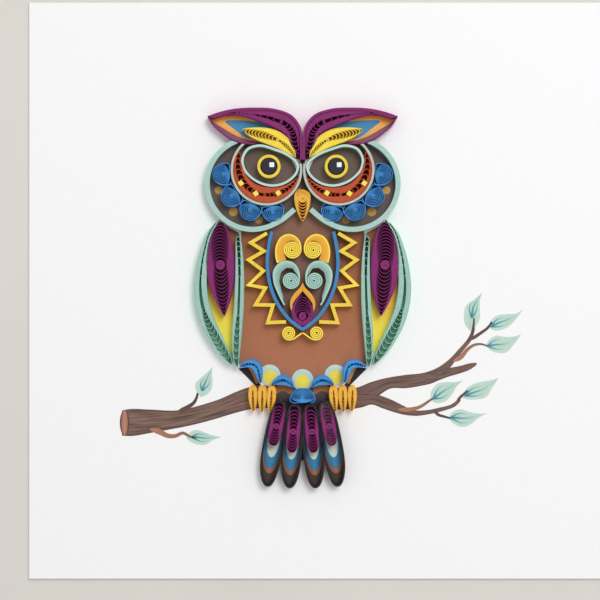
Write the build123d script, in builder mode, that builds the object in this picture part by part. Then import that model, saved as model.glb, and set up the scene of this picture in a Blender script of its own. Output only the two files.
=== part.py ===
"""Quilled paper owl on a folded greeting card.

The card lies flat with its picture up. The origin is under the middle of the card, +Y is the
top of the picture and +Z points away from the table. Every quilled piece is a paper strip
that stands on its edge on the printed card. All sizes are millimetres.

The owl is symmetric about an upright line. Its pieces are drawn once, as points (x, y) where
x is the distance from that line to the right and y is the height above the card's middle.
"""

import os
from math import atan2, cos, hypot, pi, radians, sin, sqrt

from build123d import *

# Card
card_width = 152.4
card_height = 152.4
leaf_thickness = 0.35
fold_gap = 0.3
ink_thickness = 0.08

# Owl on the card
owl_x = -3.65
strip_height = 3.0

# Paper strips, as thick as they look from above
coil_strip = 0.34
coil_gap = 0.12
outline_strip = 0.7
ring_strip = 1.3
zigzag_strip = 0.7
petal_strip = 0.6
tail_strip = 0.5
clearance = 0.12
sharpest_bend = radians(40)

# Eyes
eye_x = 9.75
eye_y = 31.7
socket_radius = 9.3
ring_x = 13.1
ring_y = 28.1
ring_radius = 12.65
iris_x = 8.85
iris_y = 32.65
iris_radius = 3.05
pupil_radius = 2.05
glint_size = 1.1
glint_height = 0.25
stud_size = 1.2
stud_height = 0.3
petal_width = 5.8

# Branch
leaf_blade_width = 4.2
twig_width = 0.75

card_thickness = 2 * leaf_thickness + fold_gap
picture_level = card_thickness + ink_thickness
strip_top = picture_level + strip_height
sides = {"left": -1, "right": 1}
made = {}

os.makedirs("parts", exist_ok=True)


# Curves and strips, as lists of points


def smooth(points, pieces, closed=False):
    """Return points evenly spaced along a smooth curve through a few given ones."""
    curve = Spline(*points, periodic=closed, mode=Mode.PRIVATE)
    count = pieces if closed else pieces + 1
    return [aside(curve, i / pieces, 0) for i in range(count)]


def arc(centre, radius, start, end, pieces):
    """Return points along an arc, with its two angles in degrees."""
    turns = [radians(start + (end - start) * i / pieces) for i in range(pieces + 1)]
    return [(centre[0] + radius * cos(t), centre[1] + radius * sin(t)) for t in turns]


def polar(centre, distance, angle):
    """Return the point at a distance and an angle in degrees from a centre."""
    return centre[0] + distance * cos(radians(angle)), centre[1] + distance * sin(radians(angle))


def direction(start, end):
    """Return the unit vector from one point to another."""
    length = hypot(end[0] - start[0], end[1] - start[1])
    return (end[0] - start[0]) / length, (end[1] - start[1]) / length


def sidestep(path, distances, closed=False):
    """Return the path moved to its left, by one distance or by one for each point."""
    if not isinstance(distances, (list, tuple)):
        distances = [distances] * len(path)
    moved = []
    last = len(path) - 1
    for i, (point, distance) in enumerate(zip(path, distances)):
        before = path[i - 1] if i > 0 or closed else None
        after = path[(i + 1) % len(path)] if i < last or closed else None
        ahead = direction(point, after) if after else direction(before, point)
        behind = direction(before, point) if before else ahead
        across = (-ahead[1] - behind[1], ahead[0] + behind[0])
        # A mitre is as long as the corner asks for, up to that of a 60 degree corner.
        share = max(1 + ahead[0] * behind[0] + ahead[1] * behind[1], 0.5)
        moved.append(
            (point[0] + distance * across[0] / share, point[1] + distance * across[1] / share)
        )
    return moved


def strip(path, thickness):
    """Return the outline of a strip that runs along the middle of a path."""
    halves = [t / 2 for t in thickness] if isinstance(thickness, list) else thickness / 2
    back = [-h for h in halves] if isinstance(halves, list) else -halves
    return sidestep(path, back) + sidestep(path, halves)[::-1]


def inner_strip(path, thickness):
    """Return the outline of a strip whose outer edge is the path, with its body to the left."""
    return path + sidestep(path, thickness)[::-1]


def swell(share, eye, powers):
    """Return how full a leaf is at a share of its length: 1 at its eye and 0 at both tips.

    A power of about 0.4 makes an end blunt, 1 makes it a lens and more draws out a thin tip.
    """
    reach, power = (eye, powers[0]) if share < eye else (1 - eye, powers[1])
    return max(0.0, 1 - ((share - eye) / reach) ** 2) ** power


def aside(curve, share, distance):
    """Return the point at a share of a curve, a distance to its left."""
    point = curve @ share
    along = curve % share
    return point.X - along.Y * distance, point.Y + along.X * distance


def hug(edge, span, eye, half_width, powers, inset, side=1):
    """Return the spine of a leaf that lies all along the inside of an edge.

    The leaf takes up a span of the edge, given by its first and last share, and keeps an inset
    from it. Its inside is to the edge's left, or to its right where side is -1.
    """
    curve = Spline(*edge, mode=Mode.PRIVATE)
    tip = coil_strip + coil_gap / 2
    spine = []
    for step in range(9):
        share = step / 8
        half = tip + (half_width - tip) * swell(share, eye, powers)
        spot = span[0] + (span[1] - span[0]) * share
        spine.append(aside(curve, spot, side * (inset + half)))
    return spine


def marks_along(curve, eye, spacing):
    """Return the shares of a curve where the sides of a coil bend, counted out from its eye.

    They lie a spacing apart where the curve is straight and closer together where it turns.
    """
    samples = 120
    found = [eye]
    for way in (-1, 1):
        spent = 0
        steps = range(1, int((eye if way < 0 else 1 - eye) * samples))
        for step in steps:
            share = eye + way * step / samples
            ahead = curve % share
            behind = curve % (share - way / samples)
            bend = abs(behind.X * ahead.Y - behind.Y * ahead.X)
            spent += curve.length / samples / spacing + bend / sharpest_bend
            if spent >= 1:
                found.append(share)
                spent = 0
    return sorted(found)


def coil(spine, eye, half_width, powers, turns, spacing=4, thickness=coil_strip):
    """Return the outline of a strip coiled into a leaf shape, widest at its eye.

    The turns lie close together at the sides of the leaf and spread out along its length, as
    a loose coil does when its middle is pulled to one place and its ends are pinched. Their
    sides bend at shared marks along the spine, so that neighbours stay side by side.
    """
    curve = Spline(*spine, mode=Mode.PRIVATE)
    tip = thickness + coil_gap / 2
    room = half_width - tip
    turns = max(1, min(turns, int(room / (thickness + coil_gap))))
    pitch = min(room / turns, thickness + 1.5 * coil_gap)
    marks = marks_along(curve, eye, spacing)

    def end(turn, on):
        """Share of the spine where a turn has its tip, past the eye or before it."""
        power = powers[1] if on else powers[0]
        lost = int(turn)
        reach = min(1 - lost / (turns + 0.3), sqrt(1 - (lost * pitch / room) ** (1 / power)))
        return eye + (1 - eye) * reach if on else eye - eye * reach

    path = []
    for half_turn in range(2 * turns - 1):
        on = half_turn % 2 == 0
        start = end(half_turn / 2, not on)
        stop = end((half_turn + 1) / 2, on)
        span = stop - start
        leave, arrive = [0.04 + 0.07 * power for power in (powers if on else powers[::-1])]
        inside = [m for m in marks if leave + 0.08 < (m - start) / span < 0.92 - arrive]
        ways = inside if on else inside[::-1]
        shares = [start + leave * span, *ways, stop - arrive * span]
        path.append(aside(curve, start, 0))
        for share in shares:
            turn = half_turn / 2 + 0.5 * (share - start) / span
            own_end = stop if (share - eye) * (stop - eye) > 0 else start
            far = min(1, (share - eye) / (own_end - eye))
            # The first turn follows the leaf, and those after it have round ends of their own.
            cap = 1 + ((1 - far**3) ** (1 / 3) - 1) * min(turn, 1)
            lost = turn if turn > 1 else max(0, 2 * turn - 1)
            half = max(tip + room * swell(share, eye, powers) - lost * pitch, tip) * cap
            path.append(aside(curve, share, -half if on else half))
    path.append(aside(curve, end(turns - 0.5, True), 0))
    return inner_strip(path, thickness)


def leaf(spine, eye, half_width, powers, stations=5):
    """Return the outer edge of a closed leaf shape, counter-clockwise."""
    curve = Spline(*spine, mode=Mode.PRIVATE)
    points = []
    for step in range(2 * stations):
        share = (1 - cos(pi * step / stations)) / 2
        half = half_width * swell(share, eye, powers) if step % stations else 0
        points.append(aside(curve, share, -half if step < stations else half))
    return points


def scroll(stem, widths, centre, turns, per_turn=7, thickness=coil_strip):
    """Return the outline of a strip that ends in a round coil about a centre.

    The stem is a smooth curve through its points that gives way to the coil at its last one.
    Its width goes evenly through the given widths, and then down to the coil's one strip.
    """
    path = smooth(stem, len(stem) + 1)
    thick = []
    for i in range(len(path)):
        spot = i / (len(path) - 1) * (len(widths) - 1)
        low = min(int(spot), len(widths) - 2)
        thick.append(widths[low] + (widths[low + 1] - widths[low]) * (spot - low))
    dx = path[-1][0] - centre[0]
    dy = path[-1][1] - centre[1]
    start = atan2(dy, dx)
    radius = hypot(dx, dy)
    arrival = direction(path[-2], path[-1])
    way = 1 if dx * arrival[1] - dy * arrival[0] > 0 else -1
    for step in range(1, int(turns * per_turn) + 1):
        turn = step / per_turn
        reach = radius * (1 - turn / (turns + 0.35))
        angle = start + way * 2 * pi * turn
        path.append((centre[0] + reach * cos(angle), centre[1] + reach * sin(angle)))
        thick.append(thickness)
    return strip(path, thick)


# Solids


def on_card(points, side=1):
    """Return points of the owl's right half in the card's frame, mirrored for its left."""
    return [(owl_x + side * x, y) for x, y in points]


def stand(name, outlines, floor, height, holes=(), under=()):
    """Raise outlines to a height as the solids of one named piece, and write it."""
    with BuildPart() as piece:
        with BuildSketch(Plane.XY.offset(floor)):
            for outline in outlines:
                with BuildLine():
                    Polyline(*outline, close=True)
                make_face()
            for hole in holes:
                with BuildLine():
                    Polyline(*hole, close=True)
                make_face(mode=Mode.SUBTRACT)
        extrude(amount=height)
        for other in under:
            add(made[other], mode=Mode.SUBTRACT)
    piece.part.label = name
    export_step(piece.part, f"parts/{name}.step")
    made[name] = piece.part


def quilled(name, *outlines, holes=()):
    """Make one paper piece as high as a strip, standing on the picture."""
    stand(name, outlines, picture_level, strip_height, holes)


def printed(name, *outlines, holes=(), under=()):
    """Print one flat field of colour on the card, except where another field lies already."""
    stand(name, outlines, card_thickness, ink_thickness, holes, under)


def quilled_pair(name, *outlines):
    """Make a quilled piece on each side of the owl."""
    for side, sign in sides.items():
        quilled(f"{side}_{name}", *[on_card(outline, sign) for outline in outlines])


def disc(centre, radius, corners=16, stretch=1):
    """Return points evenly spaced around a circle, or around one stretched upright."""
    turns = [2 * pi * i / corners for i in range(corners)]
    return [(centre[0] + radius * cos(t), centre[1] + stretch * radius * sin(t)) for t in turns]


def whole(half):
    """Return a symmetric outline from its right half, listed from the top down."""
    return half + [(-x, y) for x, y in half[::-1] if x > 0]


def both_sides(outlines):
    """Return each outline on the owl's right and its mirror image on the left."""
    return [on_card(outline, sign) for outline in outlines for sign in sides.values()]


# Card: one sheet folded at its left edge, seen from below in its section


def make_card():
    """Make the folded card, its lower leaf flat on the table."""
    left = -card_width / 2
    right = card_width / 2
    bend = card_thickness / 2
    crease = left + bend
    with BuildPart() as card:
        with BuildSketch(Plane.XZ.offset(-card_height / 2)):
            fold = arc((crease, bend), bend, 90, 270, 6)
            outside = [(right, card_thickness), *fold, (right, 0)]
            with BuildLine():
                Polyline(*inner_strip(outside, leaf_thickness), close=True)
            make_face()
        extrude(amount=card_height)
    card.part.label = "card"
    export_step(card.part, "parts/card.step")
    made["card"] = card.part


# Printed picture: the branch, in the card's own frame

branch_end_top = [(-50.9, -38.4), (-51.9, -37.4), (-52.2, -35.0), (-51.9, -32.6), (-50.9, -31.6)]
branch_top = [(-44.0, -31.6), (-36.6, -31.8), (-33.4, -31.3), (-25.5, -28.7), (-18.1, -25.5)]
branch_stop = [(-10.9, -25.5), (-11.2, -31.0)]
limb_start = [(3.6, -31.0), (3.3, -25.5)]
upper_limb_top = [(10.7, -25.5), (14.2, -24.3), (18.1, -23.2), (28.7, -21.6), (34.0, -19.1)]
upper_limb_end = [(36.7, -16.7), (40.6, -11.9), (41.2, -12.6), (38.5, -16.0), (35.3, -20.2)]
stub = [(42.0, -19.1), (42.5, -19.5), (39.3, -21.1), (34.0, -22.7)]
upper_limb_under = [(27.4, -25.0), (23.4, -25.6), (20.0, -25.5), (18.1, -26.1), (16.7, -27.9)]
lower_limb_top = [(22.1, -30.1), (23.4, -31.0), (27.4, -31.7), (34.0, -30.5), (36.7, -29.7)]
lower_limb_end = [(38.3, -28.0), (38.5, -28.4), (37.2, -30.2), (34.6, -31.3)]
lower_limb_under = [(27.4, -32.9), (23.4, -33.0), (20.8, -32.5), (14.4, -30.2), (9.4, -31.4)]
branch_under = [(-18.1, -31.3), (-28.2, -34.3), (-40.1, -37.1)]
cut_end = (-50.7, -35.0)
cut_end_width = 1.9
cut_end_height = 6.2

# A leaf blade goes from its foot to its tip
leaf_blades = [
    ((-30.9, -28.3), (-27.4, -20.3)),
    ((-34.2, -38.7), (-25.2, -38.9)),
    ((40.8, -10.7), (44.1, -0.6)),
    ((45.7, -10.4), (54.7, -4.8)),
    ((44.9, -14.4), (54.1, -11.5)),
    ((30.3, -28.7), (38.8, -23.9)),
    ((38.5, -28.1), (48.1, -23.2)),
    ((35.1, -33.9), (45.1, -32.4)),
]
twigs = [
    [(-35.3, -31.3), (-32.0, -28.9), (-31.3, -26.5), (-31.0, -25.0)],
    [(-42.4, -37.1), (-38.2, -38.4), (-35.0, -37.7), (-31.6, -38.7)],
    [(40.9, -11.7), (41.6, -9.9), (41.6, -5.9)],
    [(41.4, -12.6), (43.3, -11.2), (46.7, -8.0)],
    [(36.7, -17.8), (40.6, -14.9), (43.0, -14.1), (45.4, -14.6)],
    [(23.4, -31.3), (26.9, -31.2), (29.3, -30.2), (32.2, -27.6)],
    [(38.1, -28.3), (39.1, -27.3), (40.1, -26.5)],
    [(31.4, -32.1), (32.7, -33.2), (35.9, -34.0)],
]


def make_branch():
    """Print the branch with its cut end, twigs and leaves, under the owl's tail."""
    branch = branch_end_top + branch_top + branch_stop + branch_under
    limbs = (
        limb_start
        + upper_limb_top
        + upper_limb_end
        + stub
        + upper_limb_under
        + lower_limb_top
        + lower_limb_end
        + lower_limb_under
    )
    stretch = cut_end_height / cut_end_width
    printed("branch_end_print", disc(cut_end, cut_end_width / 2, 12, stretch))
    covers = [name for name in made if name.endswith("_print")]
    printed("branch_print", branch, limbs, under=covers)
    blades = [leaf(ends, 0.42, leaf_blade_width / 2, (0.45, 1.1), 4) for ends in leaf_blades]
    printed("leaf_print", *blades, under=["branch_print"])
    stalks = [strip(smooth(points, len(points) - 1), twig_width) for points in twigs]
    printed("twig_print", *stalks, under=["branch_print", "leaf_print"])


# Head: every list of points from here on is of the owl's right half

ear_rise = [
    (0.3, 34.4), (0.3, 38.5), (0.8, 43.4), (2.6, 45.9), (7.5, 47.8), (12.0, 48.1), (20.5, 47.3),
    (25.0, 45.8),
]
ear_under = [(25.0, 45.8), (21.7, 41.8), (18.6, 39.6), (16.4, 38.8), (14.3, 38.4)]
ear_field_under = [(11.3, 39.2), (8.6, 38.3), (6.0, 37.5), (3.3, 36.4), (1.4, 34.8)]
ear_orange = [
    (24.1, 45.3), (16.6, 46.2), (11.3, 45.5), (8.0, 44.0), (8.0, 40.0), (12.6, 39.9), (16.6, 40.7),
    (21.9, 43.3),
]
ear_blue = [
    (20.3, 44.6), (16.6, 45.1), (13.0, 44.8), (8.6, 43.5), (8.6, 41.2), (15.0, 41.0), (17.9, 42.5),
]
ear_coil_span = (0.1, 0.92)
ear_coil_half_width = 2.05
brow_spine = [
    (15.8, 42.3), (13.5, 41.6), (10.9, 41.0), (8.6, 40.4), (6.2, 39.4), (4.1, 37.8), (1.9, 35.1),
]
beak_spine = [(0, 26.8), (0, 18.2)]


def make_ears():
    """Make the ears: print, outline, crescent coil along the top, and the brow coil."""
    edge = smooth(ear_rise, 12) + smooth(ear_under, 4)[1:]
    body = inner_strip(edge, -outline_strip)
    field = sidestep(edge, -outline_strip / 2) + ear_field_under
    printed("ear_blue_print", *both_sides([ear_blue]))
    printed("ear_orange_print", *both_sides([ear_orange]), under=["ear_blue_print"])
    printed("ear_print", *both_sides([field]), under=["ear_blue_print", "ear_orange_print"])
    quilled_pair("ear_outline", body)
    eye = 0.4
    powers = (0.8, 1.3)
    inset = outline_strip + clearance
    spine = hug(ear_rise, ear_coil_span, eye, ear_coil_half_width, powers, inset, -1)
    quilled_pair("ear_coil", coil(spine, eye, ear_coil_half_width, powers, 2, 3.5))
    quilled_pair("brow_coil", coil(brow_spine, 0.5, 2.1, (0.9, 0.9), 4))
    quilled("beak", on_card(coil(beak_spine, 0.28, 2.1, (0.5, 1.1), 3)))


# Face

ring_foot = [(1.7, 20.9), (3.4, 19.4), (5.0, 18.15)]
ring_start = -120
ring_end = 61
socket_start = 42
socket_end = -192
rim = [
    (1.45, 32.5), (3.4, 35.4), (8.0, 37.4), (12.9, 37.8), (15.8, 35.2), (15.2, 31.3), (11.9, 28.3),
    (8.5, 27.5), (4.3, 28.8),
]
crescent_start = -172
crescent_end = 34
crescent_half_width = 1.8
# Each petal has an angle and a length
petals = [(-5.5, 4.4), (-35, 4.5), (-65.5, 4.4), (-96, 4.0)]
bud_spots = [(22.2, 26.6, 1.0), (18.3, 20.9, 1.15), (11.6, 18.8, 1.05)]
stud_spots = [(16.2, 28.2), (12.3, 25.5), (6.4, 25.6)]
glint_offset = (0.7, 0.35)


def square(centre, size, angle):
    """Return the corners of a square turned by an angle in degrees."""
    reach = size / sqrt(2)
    return [polar(centre, reach, angle + 90 * i) for i in range(4)]


def make_eyes():
    """Make the eyes: print, face ring, socket, crescent coil, rim, petals, iris and pupil."""
    buds = [disc((x, y), radius, 6) for x, y, radius in bud_spots]
    printed("bud_print", *both_sides(buds))
    field = disc((ring_x, ring_y), ring_radius - ring_strip / 2, 20)
    covers = ["bud_print", "ear_print", "ear_orange_print", "ear_blue_print"]
    printed("face_print", *both_sides([field]), under=covers)

    ring = ring_foot + arc((ring_x, ring_y), ring_radius, ring_start, ring_end, 16)
    quilled_pair("face_ring", inner_strip(ring, ring_strip))
    socket = arc((eye_x, eye_y), socket_radius, socket_end, socket_start, 16)
    quilled_pair("eye_socket", inner_strip(socket, outline_strip))

    edge = smooth(rim[::-1], 16, closed=True)
    inside = sidestep(edge, outline_strip, closed=True)
    for side, sign in sides.items():
        quilled(f"{side}_eye_rim", on_card(edge, sign), holes=[on_card(inside, sign)])

    socket_inside = socket_radius - outline_strip - clearance
    edge = arc((eye_x, eye_y), socket_inside, crescent_start, crescent_end, 12)
    eye = 0.56
    powers = (1.0, 0.9)
    spine = hug(edge, (0, 1), eye, crescent_half_width, powers, 0)
    quilled_pair("eye_crescent", coil(spine, eye, crescent_half_width, powers, 2, 2.8))

    for side, sign in sides.items():
        outlines = []
        for angle, length in petals:
            foot = socket_radius + clearance
            spine = [polar((eye_x, eye_y), foot + length * i / 2, angle) for i in range(3)]
            petal = coil(spine, 0.45, petal_width / 2, (0.22, 0.42), 2, 4, petal_strip)
            outlines.append(on_card(petal, sign))
        quilled(f"{side}_petals", *outlines)

    iris = disc((iris_x, iris_y), iris_radius, 12)
    hole = disc((iris_x, iris_y), iris_radius - outline_strip, 12)
    quilled("irises", *both_sides([iris]), holes=both_sides([hole]))
    quilled("pupils", *both_sides([disc((iris_x, iris_y), pupil_radius, 10)]))
    glints = []
    for sign in sides.values():
        spot = (owl_x + sign * iris_x + glint_offset[0], iris_y + glint_offset[1])
        glints.append(square(spot, glint_size, 45))
    stand("eye_glints", glints, strip_top, glint_height)
    studs = [square(spot, stud_size, 10) for spot in stud_spots]
    stand("crescent_studs", both_sides(studs), strip_top, stud_height)


# Wings

wing_field = [
    (17.6, 15.8), (21.4, 17.8), (24.5, 12.5), (25.7, 6.0), (25.3, 1.0), (24.6, -2.8), (23.0, -7.4),
    (20.6, -11.6), (19.2, -13.2), (18.5, -9.0), (17.8, -4.0), (17.4, 2.0), (17.2, 9.0),
]
wing_edge = [
    (22.1, 18.8), (24.8, 16.0), (27.0, 10.7), (28.2, 5.4), (28.6, 0.8), (28.35, -2.8), (27.1, -7.9),
    (24.5, -13.1), (21.6, -17.0), (18.7, -19.6),
]
wing_inner_edge = [
    (16.6, 15.4), (15.85, 10.6), (15.45, 5.2), (15.4, 0.0), (15.55, -5.1), (15.95, -10.3),
    (16.45, -15.6), (16.95, -20.1),
]
wing_feather_spine = [(21.5, 18.1), (21.75, 12.0), (21.65, 6.5), (21.25, 1.0), (20.6, -6.6)]
wing_outer_half_width = 1.9
wing_inner_half_width = 1.35
wing_feather_half_width = 3.75


def make_wings():
    """Make the wings: yellow print, mint coils on both edges and the purple coil between."""
    printed("wing_print", *both_sides([wing_field]), under=["face_print"])
    eye, powers = 0.76, (1.3, 0.9)
    spine = hug(wing_edge, (0, 1), eye, wing_outer_half_width, powers, 0, -1)
    quilled_pair("wing_outer_coil", coil(spine, eye, wing_outer_half_width, powers, 4, 5))
    eye, powers = 0.72, (1.1, 0.6)
    spine = hug(wing_inner_edge, (0, 1), eye, wing_inner_half_width, powers, 0)
    quilled_pair("wing_inner_coil", coil(spine, eye, wing_inner_half_width, powers, 2, 5))
    feather = coil(wing_feather_spine, 0.46, wing_feather_half_width, (0.42, 1.0), 5, 5)
    quilled_pair("wing_feather_coil", feather)


# Breast

shield = [
    (8.1, 15.5), (8.9, 11.7), (9.3, 7.8), (9.05, 4.2), (8.25, 0.6), (6.9, -2.8), (5.05, -5.7),
    (3.0, -8.0), (0, -10.1),
]
zigzag = [
    (9.35, 15.1), (13.6, 12.6), (10.15, 10.4), (14.2, 8.1), (10.3, 5.2), (14.2, 1.5), (9.75, 0.7),
    (12.4, -3.7), (7.75, -3.8), (9.2, -8.4), (4.75, -8.2),
]
chest_top = [(0, 21.6), (2.0, 21.2), (5.0, 18.6), (8.1, 16.7)]
belly = [
    (0, 22.3), (2.0, 21.6), (5.0, 18.9), (8.9, 16.5), (13.1, 15.8), (16.3, 16.2), (16.2, 9.0),
    (15.9, 0.0), (16.2, -9.0), (17.0, -19.4), (13.4, -20.0), (10.6, -23.4), (0, -23.6),
]
crown_stem = [
    (6.35, 7.9), (6.6, 10.3), (6.0, 12.5), (4.3, 13.9), (2.4, 13.7), (0.95, 12.4), (0.62, 10.8),
]
crown_coil = (2.5, 10.7)
crown_widths = [1.5, 1.6, 1.1, 0.7]
heart_stem = [
    (5.75, -3.0), (6.9, 0.2), (7.45, 3.2), (6.7, 5.6), (4.9, 6.7), (2.9, 6.5), (1.5, 4.9), (1.15, 2.7),
]
heart_coil = (3.1, 2.6)
heart_widths = [0.7, 1.2, 1.6, 1.3, 0.5]
scroll_turns = 1.75
flame = [(3.35, -4.6), (3.05, -3.3), (2.1, -1.9), (0.9, -0.3), (0, 1.3)]
teardrop_spine = [(0, -0.9), (0, -9.2)]
tie_stem = [(0, -11.25), (1.2, -12.1), (2.5, -12.9), (3.9, -13.05)]
tie_coil = (3.55, -11.15)


def make_breast():
    """Make the breast: print, shield, zigzags, scrolls, flame and the coil at its point."""
    half = smooth(shield, 10)
    printed("chest_print", on_card(whole(chest_top + half)), under=["face_print"])
    yellow = [on_card(outline) for outline in scallops(scallop_yellow_share)]
    printed("scallop_yellow_print", *yellow)
    mint = [on_card(outline) for outline in scallops(1)]
    printed("scallop_print", *mint, under=["scallop_yellow_print"])
    printed("hem_print", *both_sides([hem]), under=["scallop_print"])
    covers = [name for name in made if name.endswith("_print")]
    printed("belly_print", on_card(whole(belly)), under=covers)

    quilled("breast_shield", on_card(strip(whole(half), outline_strip)))
    quilled("zigzags", *both_sides([strip(zigzag, zigzag_strip)]))
    crown = scroll(crown_stem, crown_widths, crown_coil, scroll_turns)
    quilled("crown_scrolls", *both_sides([crown]))
    heart = scroll(heart_stem, heart_widths, heart_coil, scroll_turns)
    quilled("heart_scrolls", *both_sides([heart]))
    quilled("flame", on_card(strip(flame + [(-x, y) for x, y in flame[-2::-1]], outline_strip)))
    quilled("breast_coil", on_card(coil(teardrop_spine, 0.64, 2.85, (1.0, 0.6), 4)))
    tie = scroll(tie_stem, [tail_strip, tail_strip], tie_coil, scroll_turns)
    quilled("tie_scroll", *both_sides([tie]))


# Skirt, tail and feet

scallop_spots = [(-8.7, -22.4), (0, -23.6), (8.7, -22.4)]
scallop_radius = 2.85
scallop_yellow_share = 0.72
hem = [(17.0, -20.6), (14.6, -20.2), (12.4, -21.2), (11.6, -24.2), (10.6, -25.4), (11.8, -25.8)]
arch_edges = [
    [(16.8, -20.0), (15.4, -18.7), (13.5, -18.1), (12.0, -18.5), (10.9, -19.7), (10.5, -21.5),
     (10.9, -24.3)],
    [(8.3, -24.8), (7.7, -23.6), (6.6, -22.6), (5.0, -22.15), (3.5, -22.8), (2.6, -24.0),
     (2.3, -25.4)],
]
arch_half_width = 1.2
moon_spine = [(3.4, -27.75), (0, -27.7), (-3.4, -27.75)]
moon_half_width = 2.0
toe_spines = [
    [(8.15, -24.9), (8.25, -28.2), (8.6, -31.8)],
    [(10.65, -24.9), (10.65, -28.2), (10.7, -31.9)],
    [(13.15, -24.9), (13.1, -28.2), (12.9, -31.7)],
]
toe_half_width = 1.17
feather_spines = [
    [(1.95, -29.9), (2.25, -34.2), (2.75, -40.8), (3.2, -46.9), (3.4, -51.9)],
    [(5.75, -29.0), (6.7, -34.2), (8.05, -42.1), (8.85, -47.4), (9.2, -51.5)],
]
feather_half_width = 2.4
feather_coil_lengths = [11.3, 10.3]
feather_coil_foot = 1.2
feather_coil_half_width = 1.55
# Each printed band of a feather goes from one share of its length to another, inset
feather_bands = {
    "brown": (0.0, 1.0, 0),
    "terracotta": (0.03, 0.86, 0.25),
    "blue": (0.06, 0.8, 0.4),
    "mint": (0.09, 0.67, 0.75),
}


def scallops(share):
    """Return the scallops' outlines, scaled down by a share about a point below their middle."""
    low = 0.3 * scallop_radius * (1 - share)
    return [disc((x, y - low), scallop_radius * share, 9) for x, y in scallop_spots]


def part_of(spine, first, last, pieces=4):
    """Return points along a smooth spine from one share of its length to another."""
    curve = Spline(*spine, mode=Mode.PRIVATE)
    return [aside(curve, first + (last - first) * i / pieces, 0) for i in range(pieces + 1)]


def make_skirt():
    """Make the skirt of blue arches about a half moon."""
    arches = []
    powers = (0.7, 0.7)
    for edge in arch_edges:
        spine = hug(edge, (0, 1), 0.5, arch_half_width, powers, 0)
        arches.append(leaf(spine, 0.5, arch_half_width, powers))
    holes = [sidestep(arch, coil_strip, closed=True) for arch in arches]
    moon = coil(moon_spine, 0.5, moon_half_width, (0.3, 0.3), 2)
    quilled("skirt", *both_sides(arches), on_card(moon), holes=both_sides(holes))


def make_tail():
    """Make the tail: four feathers with a dark outline, printed bands and a purple coil."""
    covered = []
    for color, (first, last, inset) in list(feather_bands.items())[::-1]:
        half = feather_half_width - outline_strip / 2 - inset
        outlines = []
        for spine in feather_spines:
            outlines.append(leaf(part_of(spine, first, last), 0.6, half, (0.3, 0.4), 4))
        printed(f"tail_{color}_print", *both_sides(outlines), under=covered)
        covered.append(f"tail_{color}_print")
    edges = [leaf(spine, 0.66, feather_half_width, (0.25, 0.4), 6) for spine in feather_spines]
    holes = [sidestep(edge, tail_strip, closed=True) for edge in edges]
    quilled("tail_outlines", *both_sides(edges), holes=both_sides(holes))
    coils = []
    for spine, length in zip(feather_spines, feather_coil_lengths):
        reach = Spline(*spine, mode=Mode.PRIVATE).length
        part = part_of(spine, feather_coil_foot / reach, (feather_coil_foot + length) / reach)
        coils.append(coil(part, 0.5, feather_coil_half_width, (0.6, 0.45), 2, 5))
    quilled("tail_coils", *both_sides(coils))


def make_feet():
    """Make the two feet of three toes each."""
    toes = [leaf(spine, 0.35, toe_half_width, (0.4, 0.6), 4) for spine in toe_spines]
    holes = [sidestep(toe, tail_strip, closed=True) for toe in toes]
    for side, sign in sides.items():
        outlines = [on_card(toe, sign) for toe in toes]
        quilled(f"{side}_toes", *outlines, holes=[on_card(hole, sign) for hole in holes])


make_card()
make_ears()
make_eyes()
make_wings()
make_breast()
make_skirt()
make_tail()
make_feet()
make_branch()
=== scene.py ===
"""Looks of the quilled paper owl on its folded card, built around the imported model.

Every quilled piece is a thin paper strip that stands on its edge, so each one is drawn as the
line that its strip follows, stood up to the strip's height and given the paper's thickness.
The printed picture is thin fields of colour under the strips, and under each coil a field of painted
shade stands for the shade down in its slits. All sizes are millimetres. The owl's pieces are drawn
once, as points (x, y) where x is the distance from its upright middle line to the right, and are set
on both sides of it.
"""

import logging
from bisect import bisect_left
from collections.abc import Callable, Iterable, Sequence
from dataclasses import dataclass
from enum import Enum
from functools import cached_property
from math import atan2, cos, hypot, pi, radians, sin

import bpy
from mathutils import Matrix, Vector


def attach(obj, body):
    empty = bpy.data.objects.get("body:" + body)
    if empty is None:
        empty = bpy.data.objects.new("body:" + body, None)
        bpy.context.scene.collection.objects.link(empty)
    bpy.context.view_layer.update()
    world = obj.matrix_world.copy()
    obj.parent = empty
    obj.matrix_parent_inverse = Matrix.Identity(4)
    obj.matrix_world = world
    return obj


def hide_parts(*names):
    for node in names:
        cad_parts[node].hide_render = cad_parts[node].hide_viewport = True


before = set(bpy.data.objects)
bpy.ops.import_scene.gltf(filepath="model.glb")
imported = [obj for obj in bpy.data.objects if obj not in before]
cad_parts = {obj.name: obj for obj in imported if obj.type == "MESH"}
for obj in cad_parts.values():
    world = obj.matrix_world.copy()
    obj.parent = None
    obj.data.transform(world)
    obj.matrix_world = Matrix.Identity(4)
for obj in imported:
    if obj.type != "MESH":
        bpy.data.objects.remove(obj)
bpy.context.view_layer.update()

logging.basicConfig(level=logging.INFO, format="%(message)s")
log = logging.getLogger("owl")

Point = tuple[float, float]
Path = list[Point]
Points = tuple[Point, ...]
Edge = Callable[[float], Point]
Band = tuple[Edge, Edge]
Color = tuple[float, float, float, float]
Socket = bpy.types.NodeSocket

# Levels and places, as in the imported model
MM = 0.001
CARD_TOP = 1.0
INK = 0.08
PICTURE = CARD_TOP + INK
STRIP_HEIGHT = 3.0
STRIP_TOP = PICTURE + STRIP_HEIGHT
OWL_X = -3.65
SIDES = {"left": -1, "right": 1}

# Thickness of the lowest ink, and how much thicker each ink over it is
INK_LEAST = INK - 0.03
INK_STEP = 0.005
# How much higher each printed band lies than the one before it, where bands cross
BAND_STEP = 0.002

# Paper strips, and the distance from one to the next where they lie together
PAPER = 0.15
GAP = 0.02
PITCH = PAPER + GAP
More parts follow.
